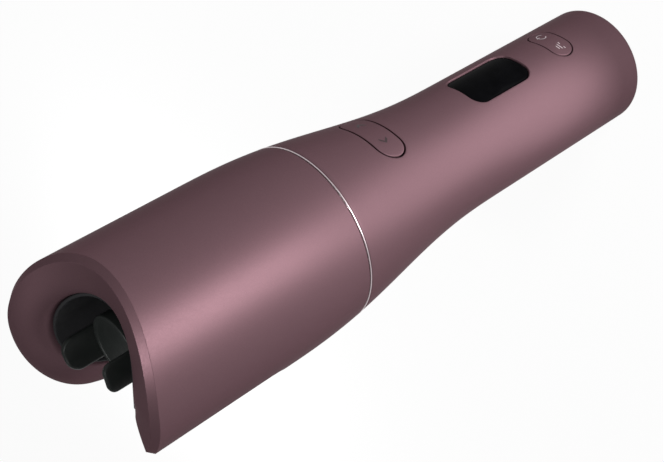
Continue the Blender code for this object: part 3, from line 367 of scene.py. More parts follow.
def satin_paint():
    """Mauve metal paint: fine flakes, a slightly uneven sheen and a faint ripple."""
    colour = (0.127, 0.0715, 0.083)
    look = Look("satin_mauve_paint", colour, 0.48, metallic=0.6, specular=0.1)
    # Pulls down the pale glare of the paint at grazing angles
    look.shader.inputs["Specular Tint"].default_value = (0.3, 0.22, 0.24, 1.0)
    look.vary_colour(look.noise(grain=0.16 * MM, detail=2.0), tinted(colour, 0.86))
    look.vary_roughness(look.noise(grain=0.3 * MM, detail=4.0), 0.44, 0.52)
    look.bump(look.noise(grain=1.6 * MM, detail=2.0), depth=0.004 * MM)
    look.bump(look.noise(grain=0.12 * MM, detail=2.0), depth=0.002 * MM)
    return look.material


def bright_metal():
    """Polished trim with a faint turned grain."""
    colour = (0.50, 0.42, 0.44)
    look = Look("bright_trim_metal", colour, 0.22, metallic=1.0)
    sheen = look.noise(grain=0.8 * MM, detail=3.0, stretch=(1.0, 1.0, 8.0))
    look.vary_roughness(sheen, 0.18, 0.28)
    look.vary_colour(look.noise(grain=4 * MM), tinted(colour, 0.92))
    lines = look.noise(grain=0.15 * MM, detail=2.0, stretch=(1.0, 1.0, 12.0))
    look.bump(lines, depth=0.001 * MM)
    return look.material


def moulded(name, colour, roughness, specular=0.4):
    """Plastic from a spark-eroded mould: fine pits and a slightly uneven sheen."""
    look = Look(name, colour, roughness, specular=specular)
    look.vary_colour(look.noise(grain=6 * MM), tinted(colour, 1.25))
    look.vary_roughness(look.noise(grain=2.5 * MM, detail=4.0), roughness - 0.06, roughness + 0.06)
    look.bump(look.cells(grain=0.25 * MM), depth=0.006 * MM)
    look.bump(look.noise(grain=0.125 * MM), depth=0.003 * MM)
    return look.material


def glazed(name, colour, roughness):
    """A dark ceramic coating with pale specks under a thin gloss."""
    look = Look(name, colour, roughness, specular=0.6, coat=0.4)
    look.vary_colour(look.cells(grain=0.5 * MM), tinted(colour, 2.2), low_at=0.0, high_at=0.12)
    look.vary_roughness(look.noise(grain=3 * MM), roughness, roughness + 0.08)
    look.bump(look.noise(grain=1.2 * MM), depth=0.002 * MM)
    return look.material


def gloss_black():
    """The window's dark panel, close to flat and even."""
    colour = (0.0015, 0.0015, 0.0018)
    look = Look("window_gloss_black", colour, 0.04, specular=0.005)
    look.vary_colour(look.noise(grain=5 * MM), tinted(colour, 1.6))
    look.vary_roughness(look.noise(grain=9 * MM, detail=5.0), 0.03, 0.07)
    look.bump(look.noise(grain=7 * MM, detail=1.0), depth=0.0015 * MM)
    return look.material


def brushed(name, colour, roughness):
    """Metal with fine scratches that lie level."""
    look = Look(name, colour, roughness, metallic=1.0)
    scratches = look.noise(grain=0.4 * MM, detail=5.0, stretch=(1.0, 1.0, 14.0))
    look.vary_colour(scratches, tinted(colour, 0.8))
    look.vary_roughness(scratches, roughness - 0.08, roughness + 0.08)
    look.bump(scratches, depth=0.002 * MM)
    return look.material


def circuit_board():
    """Solder mask over raised copper tracks that run in a brick-like net."""
    look = Look("circuit_board_green", (0.012, 0.10, 0.04), 0.35, specular=0.5, coat=0.3)
    tracks = look.tree.nodes.new("ShaderNodeTexBrick")
    tracks.inputs["Scale"].default_value = 1.0
    tracks.inputs["Brick Width"].default_value = 5.0 * MM
    tracks.inputs["Row Height"].default_value = 1.4 * MM
    tracks.inputs["Mortar Size"].default_value = 0.25 * MM
    look.link(look.space, tracks.inputs["Vector"])
    look.vary_colour(tracks.outputs["Fac"], (0.03, 0.22, 0.09), low_at=0.2, high_at=0.8)
    look.bump(tracks.outputs["Fac"], depth=0.03 * MM)
    look.vary_roughness(look.noise(grain=2 * MM), 0.3, 0.42)
    return look.material


def shrink_wrap():
    """The cells' thin plastic sleeve."""
    colour = (0.03, 0.14, 0.36)
    look = Look("cell_wrap_blue", colour, 0.3, specular=0.5)
    look.vary_colour(look.noise(grain=12 * MM), tinted(colour, 0.8))
    look.vary_roughness(look.noise(grain=3 * MM), 0.24, 0.38)
    wrinkles = look.noise(grain=4 * MM, detail=2.0, stretch=(1.0, 1.0, 0.3))
    look.bump(wrinkles, depth=0.03 * MM)
    return look.material


def print_ink(name, colour):
    look = Look(name, colour, 0.5, specular=0.3)
    look.vary_colour(look.noise(grain=0.3 * MM), tinted(colour, 0.85))
    look.vary_roughness(look.noise(grain=0.5 * MM), 0.42, 0.58)
    return look.material


PAINT = satin_paint()
BRIGHT = bright_metal()
LINER_PLASTIC = moulded("liner_matt_black", (0.012, 0.012, 0.013), 0.6, specular=0.2)
FORK_PLASTIC = moulded("fork_satin_black", (0.009, 0.0105, 0.0098), 0.5, specular=0.2)
BARREL_GLAZE = glazed("barrel_glaze", (0.014, 0.014, 0.016), 0.2)
WINDOW_BLACK = gloss_black()
INK_DARK = print_ink("print_dark", (0.02, 0.008, 0.01))
INK_LIGHT = print_ink("print_light", (0.55, 0.48, 0.5))


# Building pieces

def add_piece(name, verts, faces, look, body="body", slot=None, stands_for=()):
    """A smooth mesh that rides on a body and may stand for nodes of the model."""
    mesh = bpy.data.meshes.new(name)
    mesh.from_pydata(verts, [], faces)
    bm = bmesh.new()
    bm.from_mesh(mesh)
    bmesh.ops.remove_doubles(bm, verts=bm.verts, dist=WELD)
    bmesh.ops.recalc_face_normals(bm, faces=bm.faces)
    bm.to_mesh(mesh)
    bm.free()
    mesh.materials.append(look)
    for polygon in mesh.polygons:
        polygon.use_smooth = True
    piece = bpy.data.objects.new(name, mesh)
    bpy.context.scene.collection.objects.link(piece)
    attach(piece, body)
    if stands_for:
        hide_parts(*stands_for)
    return piece


def sharpen(piece, angle=35.0):
    """Keep edges that turn by more than an angle crisp."""
    piece.data.set_sharp_from_angle(angle=math.radians(angle))


def bevel(piece, width, angle=35.0, segments=3):
    """Round the edges that turn by more than an angle."""
    modifier = piece.modifiers.new("Bevel", "BEVEL")
    modifier.width = width
    modifier.segments = segments
    modifier.limit_method = "ANGLE"
    modifier.angle_limit = math.radians(angle)
    modifier.harden_normals = True
    modifier.use_clamp_overlap = False


def add_grid(verts, faces, columns, closed=False):
    """Add columns of points and the quads between neighbours, and return the first point."""
    start = len(verts)
    rows = len(columns[0])
    for column in columns:
        verts += column
    for i in range(len(columns) if closed else len(columns) - 1):
        here = start + i * rows
        there = start + (i + 1) % len(columns) * rows
        for k in range(here, here + rows - 1):
            step = there - here
            faces.append((k, k + 1, k + 1 + step, k + step))
    return start


def turned(profile, steps=128):
    """Points and faces of a profile of (radius, height) turned about the axis."""
    verts = []
    faces = []
    turns = [360 * i / steps for i in range(steps)]
    add_grid(verts, faces, [[(*place(radius, turn), height) for radius, height in profile]
                            for turn in turns], closed=True)
    return verts, faces


def rounded(profile, radius, steps=4):
    """The profile with each inner corner replaced by a smooth curve."""
    points = [Vector(profile[0])]
    for before, corner, after in zip(profile, profile[1:], profile[2:]):
        corner = Vector(corner)
        back = Vector(before) - corner
        ahead = Vector(after) - corner
        reach = min(radius / math.tan(back.angle(ahead) / 2), back.length * SIDE_SHARE,
                    ahead.length * SIDE_SHARE)
        first = corner + back.normalized() * reach
        last = corner + ahead.normalized() * reach
        for share in spread(0.0, 1.0, steps):
            points.append(first.lerp(corner, share).lerp(corner.lerp(last, share), share))
    points.append(Vector(profile[-1]))
    return [tuple(point) for point in points]


def rounded_box(half_x, half_y, corner, across, along, corner_steps):
    """Points round a box with round corners, in steps across its x and along its y sides."""
    corners = []
    for quarter, (sx, sy) in enumerate(QUARTERS):
        angles = spread(math.pi / 2 * quarter, math.pi / 2 * (quarter + 1), corner_steps)
        corners.append([(sx * (half_x - corner) + corner * math.cos(angle),
                         sy * (half_y - corner) + corner * math.sin(angle)) for angle in angles])
    points = []
    for quarter, arc in enumerate(corners):
        x, y = arc[-1]
        next_x, next_y = corners[(quarter + 1) % 4][0]
        steps = (across, along)[quarter % 2]
        points += arc
        points += [(x + (next_x - x) * share, y + (next_y - y) * share)
                   for share in spread(0.0, 1.0, steps)[1:-1]]
    return points


# Head

def taper_inner_turn(outer_turn):
    """The inner wall's turn that lies across the wall from an outer turn near the flap's end."""
    if outer_turn <= TAPER_BLEND_TURN:
        return outer_turn
    share = (outer_turn - TAPER_BLEND_TURN) / (FLAP_TIP_TURN - TAPER_BLEND_TURN)
    return TAPER_BLEND_TURN + (TAPER_TURN - TAPER_BLEND_TURN) * share


def line_distance(point, a, b):
    """Distance of a point from the line through a and b."""
    along = (b - a).normalized()
    return abs((point - a).x * along.y - (point - a).y * along.x)


def slot_foot(x, y):
    """Height of the slot's lower edge, which turns up in a round corner at both ends."""
    point = Vector((x, y))
    lip = line_distance(point, Vector((0.0, 0.0)), Vector(place(1.0, LIP_EDGE_TURN)))
    flap_inner = Vector(place(CHAMBER_WIDE_RADIUS, TAPER_TURN))
    flap = line_distance(point, flap_inner, Vector(place(HEAD_RADIUS, FLAP_TIP_TURN)))
    share = 1 - min(lip, flap, SLOT_CORNER) / SLOT_CORNER
    return SLOT_FOOT_Z + SLOT_CORNER * (1 - math.sqrt(max(0.0, 1 - share ** 2)))


def head_columns():
    """(Outer, inner) turns of the wall's columns, and of the slot's columns between them."""
    corner = [LIP_TURN - (LIP_TURN - LIP_EDGE_TURN) * math.cos(angle)
              for angle in spread(0.0, math.pi / 2, LIP_COLUMNS)[:-1]]
    wall = corner + spread(LIP_TURN, FLAP_TIP_TURN, WALL_COLUMNS)
    slot_outer = spread(FLAP_TIP_TURN, SLOT_END_TURN, SLOT_COLUMNS)
    slot_inner = spread(TAPER_TURN, SLOT_END_TURN, SLOT_COLUMNS)
    slot = list(zip(slot_outer, slot_inner))[1:-1]
    return [(turn, taper_inner_turn(turn)) for turn in wall], slot


def lower_column(outer_turn, inner_turn, in_slot):
    """Points up the outside below the slot's level, and down the chamber to its floor."""
    outer = place(HEAD_RADIUS, outer_turn)
    inner = place(chamber_radius(inner_turn), inner_turn)
    outer_high = slot_foot(*outer) if in_slot else SLOT_HIGH_Z
    inner_high = slot_foot(*inner) if in_slot else SLOT_HIGH_Z
    foot = body_radius(HEAD_FOOT_Z)
    outside = [(*place(radius, outer_turn), HEAD_FOOT_Z) for radius in (foot - WALL, foot - FIT)]
    for height in spread(HEAD_FOOT_Z + FIT, outer_high, NECK_ROWS):
        outside.append((*place(body_radius(height), outer_turn), height))
    inside = [(*inner, height) for height in spread(inner_high, CHAMBER_FLOOR_Z, WELL_ROWS)]
    for radius in spread(chamber_radius(inner_turn), NECK_HOLE, FLOOR_ROWS)[1:]:
        inside.append((*place(radius, inner_turn), CHAMBER_FLOOR_Z))
    return outside, inside


def upper_column(outer_turn, inner_turn):
    """Points up the outside, over the chamfer and the rolled face, and down the chamber."""
    rim = rim_height(outer_turn)
    crest = rim + RIM_CHAMFER
    roll = roll_height(outer_turn)
    outer = place(HEAD_RADIUS, outer_turn)
    edge = Vector(place(HEAD_RADIUS - RIM_CHAMFER, outer_turn))
    inner = Vector(place(chamber_radius(inner_turn), inner_turn))
    points = [(*outer, height) for height in spread(SLOT_HIGH_Z, rim, RIM_ROWS)]
    for angle in spread(math.pi / 2, 0.0, ROLL_ROWS):
        across = edge.lerp(inner, math.cos(angle))
        points.append((*across, crest - roll * (1 - math.sin(angle))))
    for height in spread(crest - roll, SLOT_HIGH_Z, CHAMBER_ROWS)[1:]:
        points.append((*inner, height))
    return points


def head_skin():
    """The head's shell: all round below the slot's level, and the scroll above it."""
    wall, slot = head_columns()
    lower = [lower_column(outer, inner, False) for outer, inner in wall]
    lower += [lower_column(outer, inner, True) for outer, inner in slot]
    upper = [upper_column(outer, inner) for outer, inner in wall]
    flap = len(wall) - 1
    verts = []
    faces = []
    add_grid(verts, faces, [outside for outside, _ in lower], closed=True)
    add_grid(verts, faces, [inside for _, inside in lower], closed=True)
    upper_start = add_grid(verts, faces, upper)

    # The slot's lower edge runs across the wall, from the flap's end to the lip's
    band = []
    for outside, inside in lower[flap:] + lower[:1]:
        low_outer, low_inner = Vector(outside[-1]), Vector(inside[0])
        band.append([tuple(low_outer.lerp(low_inner, share))
                     for share in spread(0.0, 1.0, BAND_ROWS)])
    band_start = add_grid(verts, faces, band)

    # Both ends of the scroll are closed down to that edge
    rows = len(upper[0])
    for column, rung in ((0, len(band) - 1), (flap, 0)):
        up = range(upper_start + column * rows, upper_start + (column + 1) * rows)
        first = band_start + rung * (BAND_ROWS + 1)
        across = range(first + 1, first + BAND_ROWS)
        faces.append([*up, *reversed(across)])
    skin = add_piece("head_skin", verts, faces, PAINT, slot="body_satin", stands_for=["head_shell"])
    sharpen(skin)
    bevel(skin, SKIN_BEVEL)


def liner_sleeve():
    """Black sleeve inside the chamber, up to where the painted face rolls in."""
    turns = spread(LIP_EDGE_TURN + LINER_MARGIN_TURN, TAPER_TURN - LINER_MARGIN_TURN, LINER_COLUMNS)
    low = CHAMBER_FLOOR_Z + FIT
    columns = []
    for turn in turns:
        outer = chamber_radius(turn) - FIT
        inner = outer - LINER_WALL
        top = max(LINER_TOP_Z, rim_height(turn) + RIM_CHAMFER - roll_height(turn) - FIT)
        profile = rounded([(outer, low), (outer, top), (inner, top), (inner, low)], LINER_EDGE)
        columns.append([(*place(radius, turn), height) for radius, height in profile])
    verts = []
    faces = []
    add_grid(verts, faces, columns)
    rows = len(columns[0])
    faces.append(list(range(rows)))
    faces.append(list(range(len(verts) - rows, len(verts)))[::-1])
    sleeve = add_piece("liner_sleeve", verts, faces, LINER_PLASTIC, slot="liner_black",
                       stands_for=["chamber_liner"])
    sharpen(sleeve)


def trim_ring():
    """Bright ring in the seam, a touch proud, with a rounded face."""
    outer = body_radius(SEAM_Z) - RING_SINK_SHARE * SEAM_LINE
    half = SEAM_LINE / 2
    inner = outer - RING_DEPTH
    bead = [(outer + half * math.cos(angle), SEAM_Z + half * math.sin(angle))
            for angle in spread(math.pi / 2, -math.pi / 2, 10)]
    profile = [(inner, SEAM_Z + half)] + bead + [(inner, SEAM_Z - half), (inner, SEAM_Z + half)]
    verts, faces = turned(profile, steps=256)
    add_piece("seam_trim", verts, faces, BRIGHT, slot="chrome", stands_for=["seam_ring"])


# Fork and barrel

def quarter_drop(over, radius):
    """How far a quarter round of a radius has drawn in, this much over its start."""
    return radius - math.sqrt(max(0.0, radius ** 2 - max(0.0, over) ** 2))


def prong_section(height, prong, top, half, end_corner):
    """Rounded cross-section of a prong at a height, drawn in towards its top."""
    half_thick = (PRONG_OUTER_RADIUS - PRONG_INNER_RADIUS) / 2
    half_thick -= quarter_drop(height - (top - PRONG_EDGE), PRONG_EDGE)
    half_wide = half - quarter_drop(height - (top - end_corner), end_corner)
    corner = min(PRONG_EDGE, half_thick * THICKNESS_SHARE, half_wide * THICKNESS_SHARE)
    points = []
    for arc, depth in rounded_box(half_wide, half_thick, corner, across=9, along=1, corner_steps=5):
        turn = prong.turn + math.degrees(arc / PRONG_MEAN_RADIUS)
        points.append((*place(PRONG_MEAN_RADIUS + depth, turn), height))
    return points


def add_prong(verts, faces, prong, low):
    """A curved prong that stands from a height on the carrier's disc."""
    half = math.radians(prong.half_angle) * PRONG_MEAN_RADIUS
    corner = half * prong.corner_share
    top = PRONG_TOP_Z + prong.longer
    heights = spread(low, top - corner, PRONG_ROWS)
    for angle in spread(0.0, math.pi / 2, PRONG_END_ROWS)[1:]:
        heights.append(top - corner + corner * math.sin(angle))
    sections = [prong_section(height, prong, top, half, corner) for height in heights]
    start = add_grid(verts, faces, list(zip(*sections)), closed=True)
    rows = len(sections)
    faces.append(list(range(start + rows - 1, len(verts), rows)))
    faces.append(list(range(start, len(verts), rows))[::-1])


def fork():
    """Carrier disc and two curved prongs with softened edges."""
    low = CHAMBER_FLOOR_Z + 2 * FIT
    top = low + DISC_THICKNESS
    profile = [(DISC_BORE, low), (DISC_BORE, top), (DISC_RADIUS, top), (DISC_RADIUS, low),
               (DISC_BORE, low)]
    verts, faces = turned(rounded(profile, DISC_EDGE), steps=96)
    for prong in (NEAR_PRONG, FAR_PRONG):
        add_prong(verts, faces, prong, top - DISC_THICKNESS / 2)
    piece = add_piece("fork_prongs", verts, faces, FORK_PLASTIC, body="rotor", slot="fork_black",
                      stands_for=["rotor_fork"])
    sharpen(piece, angle=50.0)


def barrel_tube():
    """The coated tube that the hair is wound on."""
    low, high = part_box("heated_barrel")
    inner = BARREL_RADIUS - BARREL_WALL
    profile = [(inner, low.z), (BARREL_RADIUS, low.z), (BARREL_RADIUS, high.z), (inner, high.z)]
    profile = rounded(profile, BARREL_EDGE)
    verts, faces = turned(profile + [profile[0]])
    add_piece("barrel_tube", verts, faces, BARREL_GLAZE, slot="barrel_black",
              stands_for=["heated_barrel"])


def barrel_nose():
    """The barrel's end: a spigot in the tube under a flat face with a shallow step."""
    low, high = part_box("barrel_cap")
    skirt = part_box("heated_barrel")[1].z + FIT
    top = high.z
    spigot = BARREL_RADIUS - NOSE_SPIGOT
    middle = top - NOSE_MIDDLE_DROP
    face = [(spigot, low.z), (spigot, skirt), (BARREL_RADIUS, skirt), (BARREL_RADIUS, top),
            (BARREL_RADIUS - NOSE_RIM, top), (BARREL_RADIUS - NOSE_STEP, top - NOSE_STEP_DROP),
            (NOSE_MIDDLE_RADIUS, middle)]
    verts, faces = turned(rounded(face, NOSE_EDGE) + [(0.0, middle)])
    piece = add_piece("barrel_nose", verts, faces, FORK_PLASTIC, slot="fork_black",
                      stands_for=["barrel_cap"])
    sharpen(piece, angle=50.0)


# Openings, buttons and window in the handle's wall

def loop_points(opening, grow):
    """Points round an opening's grown outline as (x, height)."""
    middle, half_arc, half_height, corner = opening
    across = max(1, round(2 * (half_arc - corner) / LOOP_STEP))
    along = max(1, round(2 * (half_height - corner) / LOOP_STEP))
    flat = rounded_box(half_arc + grow, half_height + grow, corner + grow, across, along,
                       corner_steps=14)
    radius = body_radius(middle)
    return [(radius * math.sin(arc / radius), middle + height) for arc, height in flat]


def loop_turns(loop):
    """The same points as (turn, height)."""
    return [(math.degrees(math.asin(-x / body_radius(height))), height) for x, height in loop]


def opening_distance(opening, turn, height, grow):
    """Signed distance from an opening's grown outline, negative inside."""
    middle, half_arc, half_height, corner = opening
    x = -body_radius(height) * math.sin(math.radians(turn))
    radius = body_radius(middle)
    arc = radius * math.asin(max(-1.0, min(1.0, x / radius)))
    dx = abs(arc) - (half_arc - corner)
    dz = abs(height - middle) - (half_height - corner)
    outside = math.hypot(max(dx, 0.0), max(dz, 0.0)) + min(max(dx, dz), 0.0)
    return outside - corner - grow


def on_wall(x, height, depth):
    """The point of the wall that is seen from the front at x, set in by a depth."""
    radius = body_radius(height)
    turn = math.degrees(math.asin(-x / radius))
    return (*place(radius - depth, turn), height)


def wall_patch(points, loops, depth, keep):
    """Triangles between (turn, height) points and loops, where keep says so, at a depth."""
    scale = math.radians(1.0) * HANDLE_RADIUS
    flat = [Vector((turn * scale, height)) for turn, height in points]
    edges = []
    for loop in loops:
        start = len(flat)
        flat += [Vector((turn * scale, height)) for turn, height in loop]
        edges += [(start + i, start + (i + 1) % len(loop)) for i in range(len(loop))]
    result = geometry.delaunay_2d_cdt(flat, edges, [], 0, PATCH_WELD)
    spots = [(point.x / scale, point.y) for point in result[0]]
    faces = []
    for triangle in result[2]:
        turn = sum(spots[i][0] for i in triangle) / 3
        height = sum(spots[i][1] for i in triangle) / 3
        if keep(turn, height):
            faces.append(tuple(triangle))
    verts = [(*place(body_radius(height) - depth, turn), height) for turn, height in spots]
    return verts, faces


def edge_profile(outwards, depth, base):
    """Steps of (grow, depth) over a rounded edge and down its side."""
    points = []
    for angle in spread(0.0, math.pi / 2, 4):
        grow = outwards * EDGE_ROUND * (1 - math.sin(angle))
        points.append((grow, depth + EDGE_ROUND * (1 - math.cos(angle))))
    return points + [(0.0, base)]


def add_edge(verts, faces, opening, gap, profile):
    """A strip round an opening through the (grow, depth) steps of a profile."""
    rings = [[on_wall(x, height, depth) for x, height in loop_points(opening, grow - gap)]
             for grow, depth in profile]
    add_grid(verts, faces, list(zip(*rings)), closed=True)


def handle_skin():
    """The handle's shell, finely divided in front, where its openings are."""
    heights = spread(END_ROUND, HANDLE_TOP_Z - FIT, HANDLE_ROWS)
    front_turns = spread(-FRONT_TURN, FRONT_TURN, FRONT_COLUMNS)
    back_turns = spread(FRONT_TURN, 360 - FRONT_TURN, BACK_COLUMNS)

    def gap_to(turn, height):
        return min(opening_distance(opening, turn, height, EDGE_ROUND) for opening in OPENINGS)

    points = [(turn, height) for turn in front_turns for height in heights
              if gap_to(turn, height) > OPENING_CLEAR]
    loops = [loop_turns(loop_points(opening, EDGE_ROUND)) for opening in OPENINGS]
    verts, faces = wall_patch(points, loops, 0.0, lambda turn, height: gap_to(turn, height) > 0)
    add_grid(verts, faces, [[(*place(body_radius(height), turn), height) for height in heights]
                            for turn in back_turns])
    for opening in OPENINGS:
        add_edge(verts, faces, opening, 0.0, edge_profile(1.0, 0.0, WALL))

    bore = HANDLE_RADIUS - WALL
    foot = [(HANDLE_RADIUS - END_ROUND * (1 - math.cos(angle)), END_ROUND * (1 - math.sin(angle)))
            for angle in spread(0.0, math.pi / 2, 8)]
    foot += [(bore + FIT / 2, 0.0), (bore, FIT / 2), (bore, BORE_SHOWN)]
    outer = body_radius(HANDLE_TOP_Z)
    corner = TOP_BEVEL_SHARE * FIT
    head = [(body_radius(HANDLE_TOP_Z - FIT), HANDLE_TOP_Z - FIT),
            (outer - corner, HANDLE_TOP_Z - corner),
            (outer - FIT, HANDLE_TOP_Z), (outer - WALL, HANDLE_TOP_Z)]
    for profile in (foot, head):
        add_grid(verts, faces, [[(*place(radius, turn), height) for radius, height in profile]
                                for turn in front_turns + back_turns[1:-1]], closed=True)
    skin = add_piece("handle_skin", verts, faces, PAINT, slot="body_satin", stands_for=["handle_shell"])
    sharpen(skin, angle=55.0)


def wall_cap(name, opening, gap, depth, base, look, **ties):
    """A cap that fills an opening in the wall, less a gap, with a rounded edge."""
    inset = gap + EDGE_ROUND
    middle, half_arc, half_height, _ = opening
    heights = spread(middle - half_height, middle + half_height, round(2 * half_height / CAP_STEP))
    half_turn = math.degrees(half_arc / HANDLE_RADIUS)
    turns = spread(-half_turn, half_turn, round(2 * half_arc / CAP_STEP))

    def inside(turn, height):
        return opening_distance(opening, turn, height, -inset)

    points = [(turn, height) for turn in turns for height in heights if inside(turn, height) < -FIT]
    loop = loop_turns(loop_points(opening, -inset))
    verts, faces = wall_patch(points, [loop], depth, lambda turn, height: inside(turn, height) < 0)
    add_edge(verts, faces, opening, gap, edge_profile(-1.0, depth, base))
    cap = add_piece(name, verts, faces, look, **ties)
    sharpen(cap, angle=55.0)


def keys_and_window():
    """Both keys, which rock on their own bodies, and the dark window in its recess."""
    wall_cap("direction_key", DIRECTION, LARGE_BUTTON_GAP, 0.0, BUTTON_SIDE, PAINT,
             body="direction_rocker", stands_for=["direction_button"], slot="body_satin")
    wall_cap("function_key", FUNCTION, BUTTON_GAP, 0.0, BUTTON_SIDE, PAINT,
             body="function_rocker", stands_for=["function_button"], slot="body_satin")
    wall_cap("window_lens", WINDOW, FIT, WINDOW_RECESS, WINDOW_SIDE, WINDOW_BLACK,
             slot="window_black", stands_for=["display_window"])


# Printed marks, as closed outlines of (arc along the wall, height) about a key's middle

def wall_mark(name, shapes, middle, look, body):
    """Printed marks that lie just proud of the wall about a middle height."""
    radius = body_radius(middle)
    verts = []
    faces = []
    for shape in shapes:
        start = len(verts)
        verts += [on_wall(radius * math.sin(arc / radius), middle + height, -MARK_LIFT)
                  for arc, height in shape]
        faces.append(list(range(start, start + len(shape))))
    add_piece(name, verts, faces, look, body=body)


def arc_band(centre, radius, width, first, last, count=28):
    """A curved stroke about a centre on the middle height, as a row of quads."""
    angles = spread(math.radians(first), math.radians(last), count)
    outer = radius + width
    shapes = []
    for a, b in zip(angles, angles[1:]):
        shapes.append([(centre + reach * math.cos(angle), reach * math.sin(angle))
                       for reach, angle in ((radius, a), (outer, a), (outer, b), (radius, b))])
    return shapes


def chevron(centre, reach, width):
    """Two strokes of an arrowhead that points away from the middle."""
    side = math.copysign(1.0, centre)
    tip = centre + side * reach / 2
    foot = centre - side * reach / 2
    back = side * width * SLANT_SHARE
    return [[(tip, 0.0), (foot, end), (foot - back, end), (tip - back, 0.0)] for end in (reach, -reach)]


def bar(centre, height, half_width, half_height):
    """An upright rectangle about a centre."""
    return [(centre + sx * half_width, height + sz * half_height)
            for sx, sz in ((-1, -1), (1, -1), (1, 1), (-1, 1))]


def marks():
    """Two arrows on the direction key, a power sign and three bars on the function key."""
    arrows = []
    for centre in (-ARROW_ARC, ARROW_ARC):
        arrows += chevron(centre, ARROW_REACH, ARROW_STROKE)
    wall_mark("direction_marks", arrows, DIRECTION.middle, INK_DARK, "direction_rocker")
    power = arc_band(MARK_ARC, POWER_RADIUS, MARK_STROKE, POWER_FROM, POWER_TO)
    power.append(bar(MARK_ARC, POWER_RADIUS, MARK_STROKE / 2, POWER_RADIUS / 2))
    wall_mark("power_mark", power, FUNCTION.middle, INK_LIGHT, "function_rocker")
    level = [bar(-MARK_ARC, (i - 1) * LEVEL_STEP, LEVEL_REACH * (1 - i / 4), MARK_STROKE / 2)
             for i in range(3)]
    wall_mark("level_mark", level, FUNCTION.middle, INK_LIGHT, "function_rocker")


# Flat end

def end_plate():
    """The handle's end cap with a rounded edge and the charging socket's opening."""
    cap_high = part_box("base_cap")[1]
    radius, top = cap_high.x, cap_high.z
    socket_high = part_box("charge_socket")[1]
    half_x, half_y = socket_high.x + FIT, socket_high.y + FIT
    hole = []
    for side in (1, -1):
        for angle in spread(-math.pi / 2, math.pi / 2, 16):
            x = half_x - half_y + half_y * math.cos(angle)
            hole.append((side * x, side * half_y * math.sin(angle)))
    directions = [math.atan2(y, x) for x, y in hole]

    def circle(reach, height):
        """Points on a circle in the directions of the hole's points."""
        return [(reach * math.cos(angle), reach * math.sin(angle), height) for angle in directions]

    loops = [[(x, y, top) for x, y in hole], [(x, y, FIT) for x, y in hole]]
    loops.append([(x * (1 + FIT / half_x), y * (1 + FIT / half_y), 0.0) for x, y in hole])
    for share in PLATE_RING_SHARES:
        loops.append(circle((radius - FIT) * share, 0.0))
    loops.append(circle(radius, FIT))
    loops.append(circle(radius, top))
    verts = []
    faces = []
    add_grid(verts, faces, list(zip(*loops)), closed=True)
    plate = add_piece("end_plate", verts, faces, PAINT, slot="body_satin", stands_for=["base_cap"])
    sharpen(plate)


# Carried-over nodes

def dress_inner_nodes():
    """Materials for the nodes that no piece of this script stands for."""
    screws = [f"plate_screw_{number}" for number in (1, 2, 3)]
    dressed = (
        (brushed("brushed_steel", (0.56, 0.56, 0.58), 0.3),
         ["motor_pinion", "motor_shaft", "motor_gearhead", "motor_can", "barrel_stem", *screws,
          "direction_pin", "function_pin", "battery_link", "charge_socket"]),
        (brushed("sintered_bronze", (0.5, 0.33, 0.16), 0.38), ["rotor_bush"]),
        (brushed("extruded_aluminium", (0.75, 0.75, 0.77), 0.34), ["heat_spreader"]),
        (moulded("white_nylon", (0.8, 0.79, 0.75), 0.45), ["rotor_gear"]),
        (moulded("grey_glass_filled", (0.11, 0.11, 0.115), 0.5),
         ["gear_plate", "battery_tray", "direction_frame", "direction_switch_left",
          "direction_switch_right", "function_switch_left", "function_switch_right",
          "display_module"]),
        (circuit_board(), ["control_board", "direction_board", "charge_board"]),
        (shrink_wrap(), ["battery_cell_left", "battery_cell_right"]),
        (moulded("pale_ceramic", (0.82, 0.8, 0.74), 0.6), ["heating_element", "temperature_sensor"]),
        (LINER_PLASTIC, ["barrel_base"]),
        (WINDOW_BLACK, ["display_glass"]),
    )
    for look, nodes in dressed:
        for node in nodes:
            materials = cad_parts[node].data.materials
            materials.clear()
            materials.append(look)


# Studio

def floor_look():
    """White to the eye and in reflections, with a share of plain diffuse that keeps the shadow."""
    made = bpy.data.materials.new("studio_floor")
    made.use_nodes = True
    nodes, links = made.node_tree.nodes, made.node_tree.links
    nodes.clear()
    matt = nodes.new("ShaderNodeBsdfDiffuse")
    matt.inputs["Color"].default_value = (FLOOR_GREY, FLOOR_GREY, FLOOR_GREY, 1.0)
    white = nodes.new("ShaderNodeEmission")
    white.inputs["Strength"].default_value = 1.0
    path = nodes.new("ShaderNodeLightPath")
    seen = path.outputs["Is Camera Ray"]
    for ray in ("Is Glossy Ray", "Is Transmission Ray"):
        either = nodes.new("ShaderNodeMath")
        either.operation = "MAXIMUM"
        links.new(seen, either.inputs[0])
        links.new(path.outputs[ray], either.inputs[1])
        seen = either.outputs[0]
    share = nodes.new("ShaderNodeMath")
    share.operation = "MULTIPLY"
    share.inputs[1].default_value = FLOOR_WHITE_SHARE
    links.new(seen, share.inputs[0])
    mix = nodes.new("ShaderNodeMixShader")
    links.new(share.outputs[0], mix.inputs["Fac"])
    links.new(matt.outputs[0], mix.inputs[1])
    links.new(white.outputs[0], mix.inputs[2])
    out = nodes.new("ShaderNodeOutputMaterial")
    links.new(mix.outputs[0], out.inputs["Surface"])
    return made


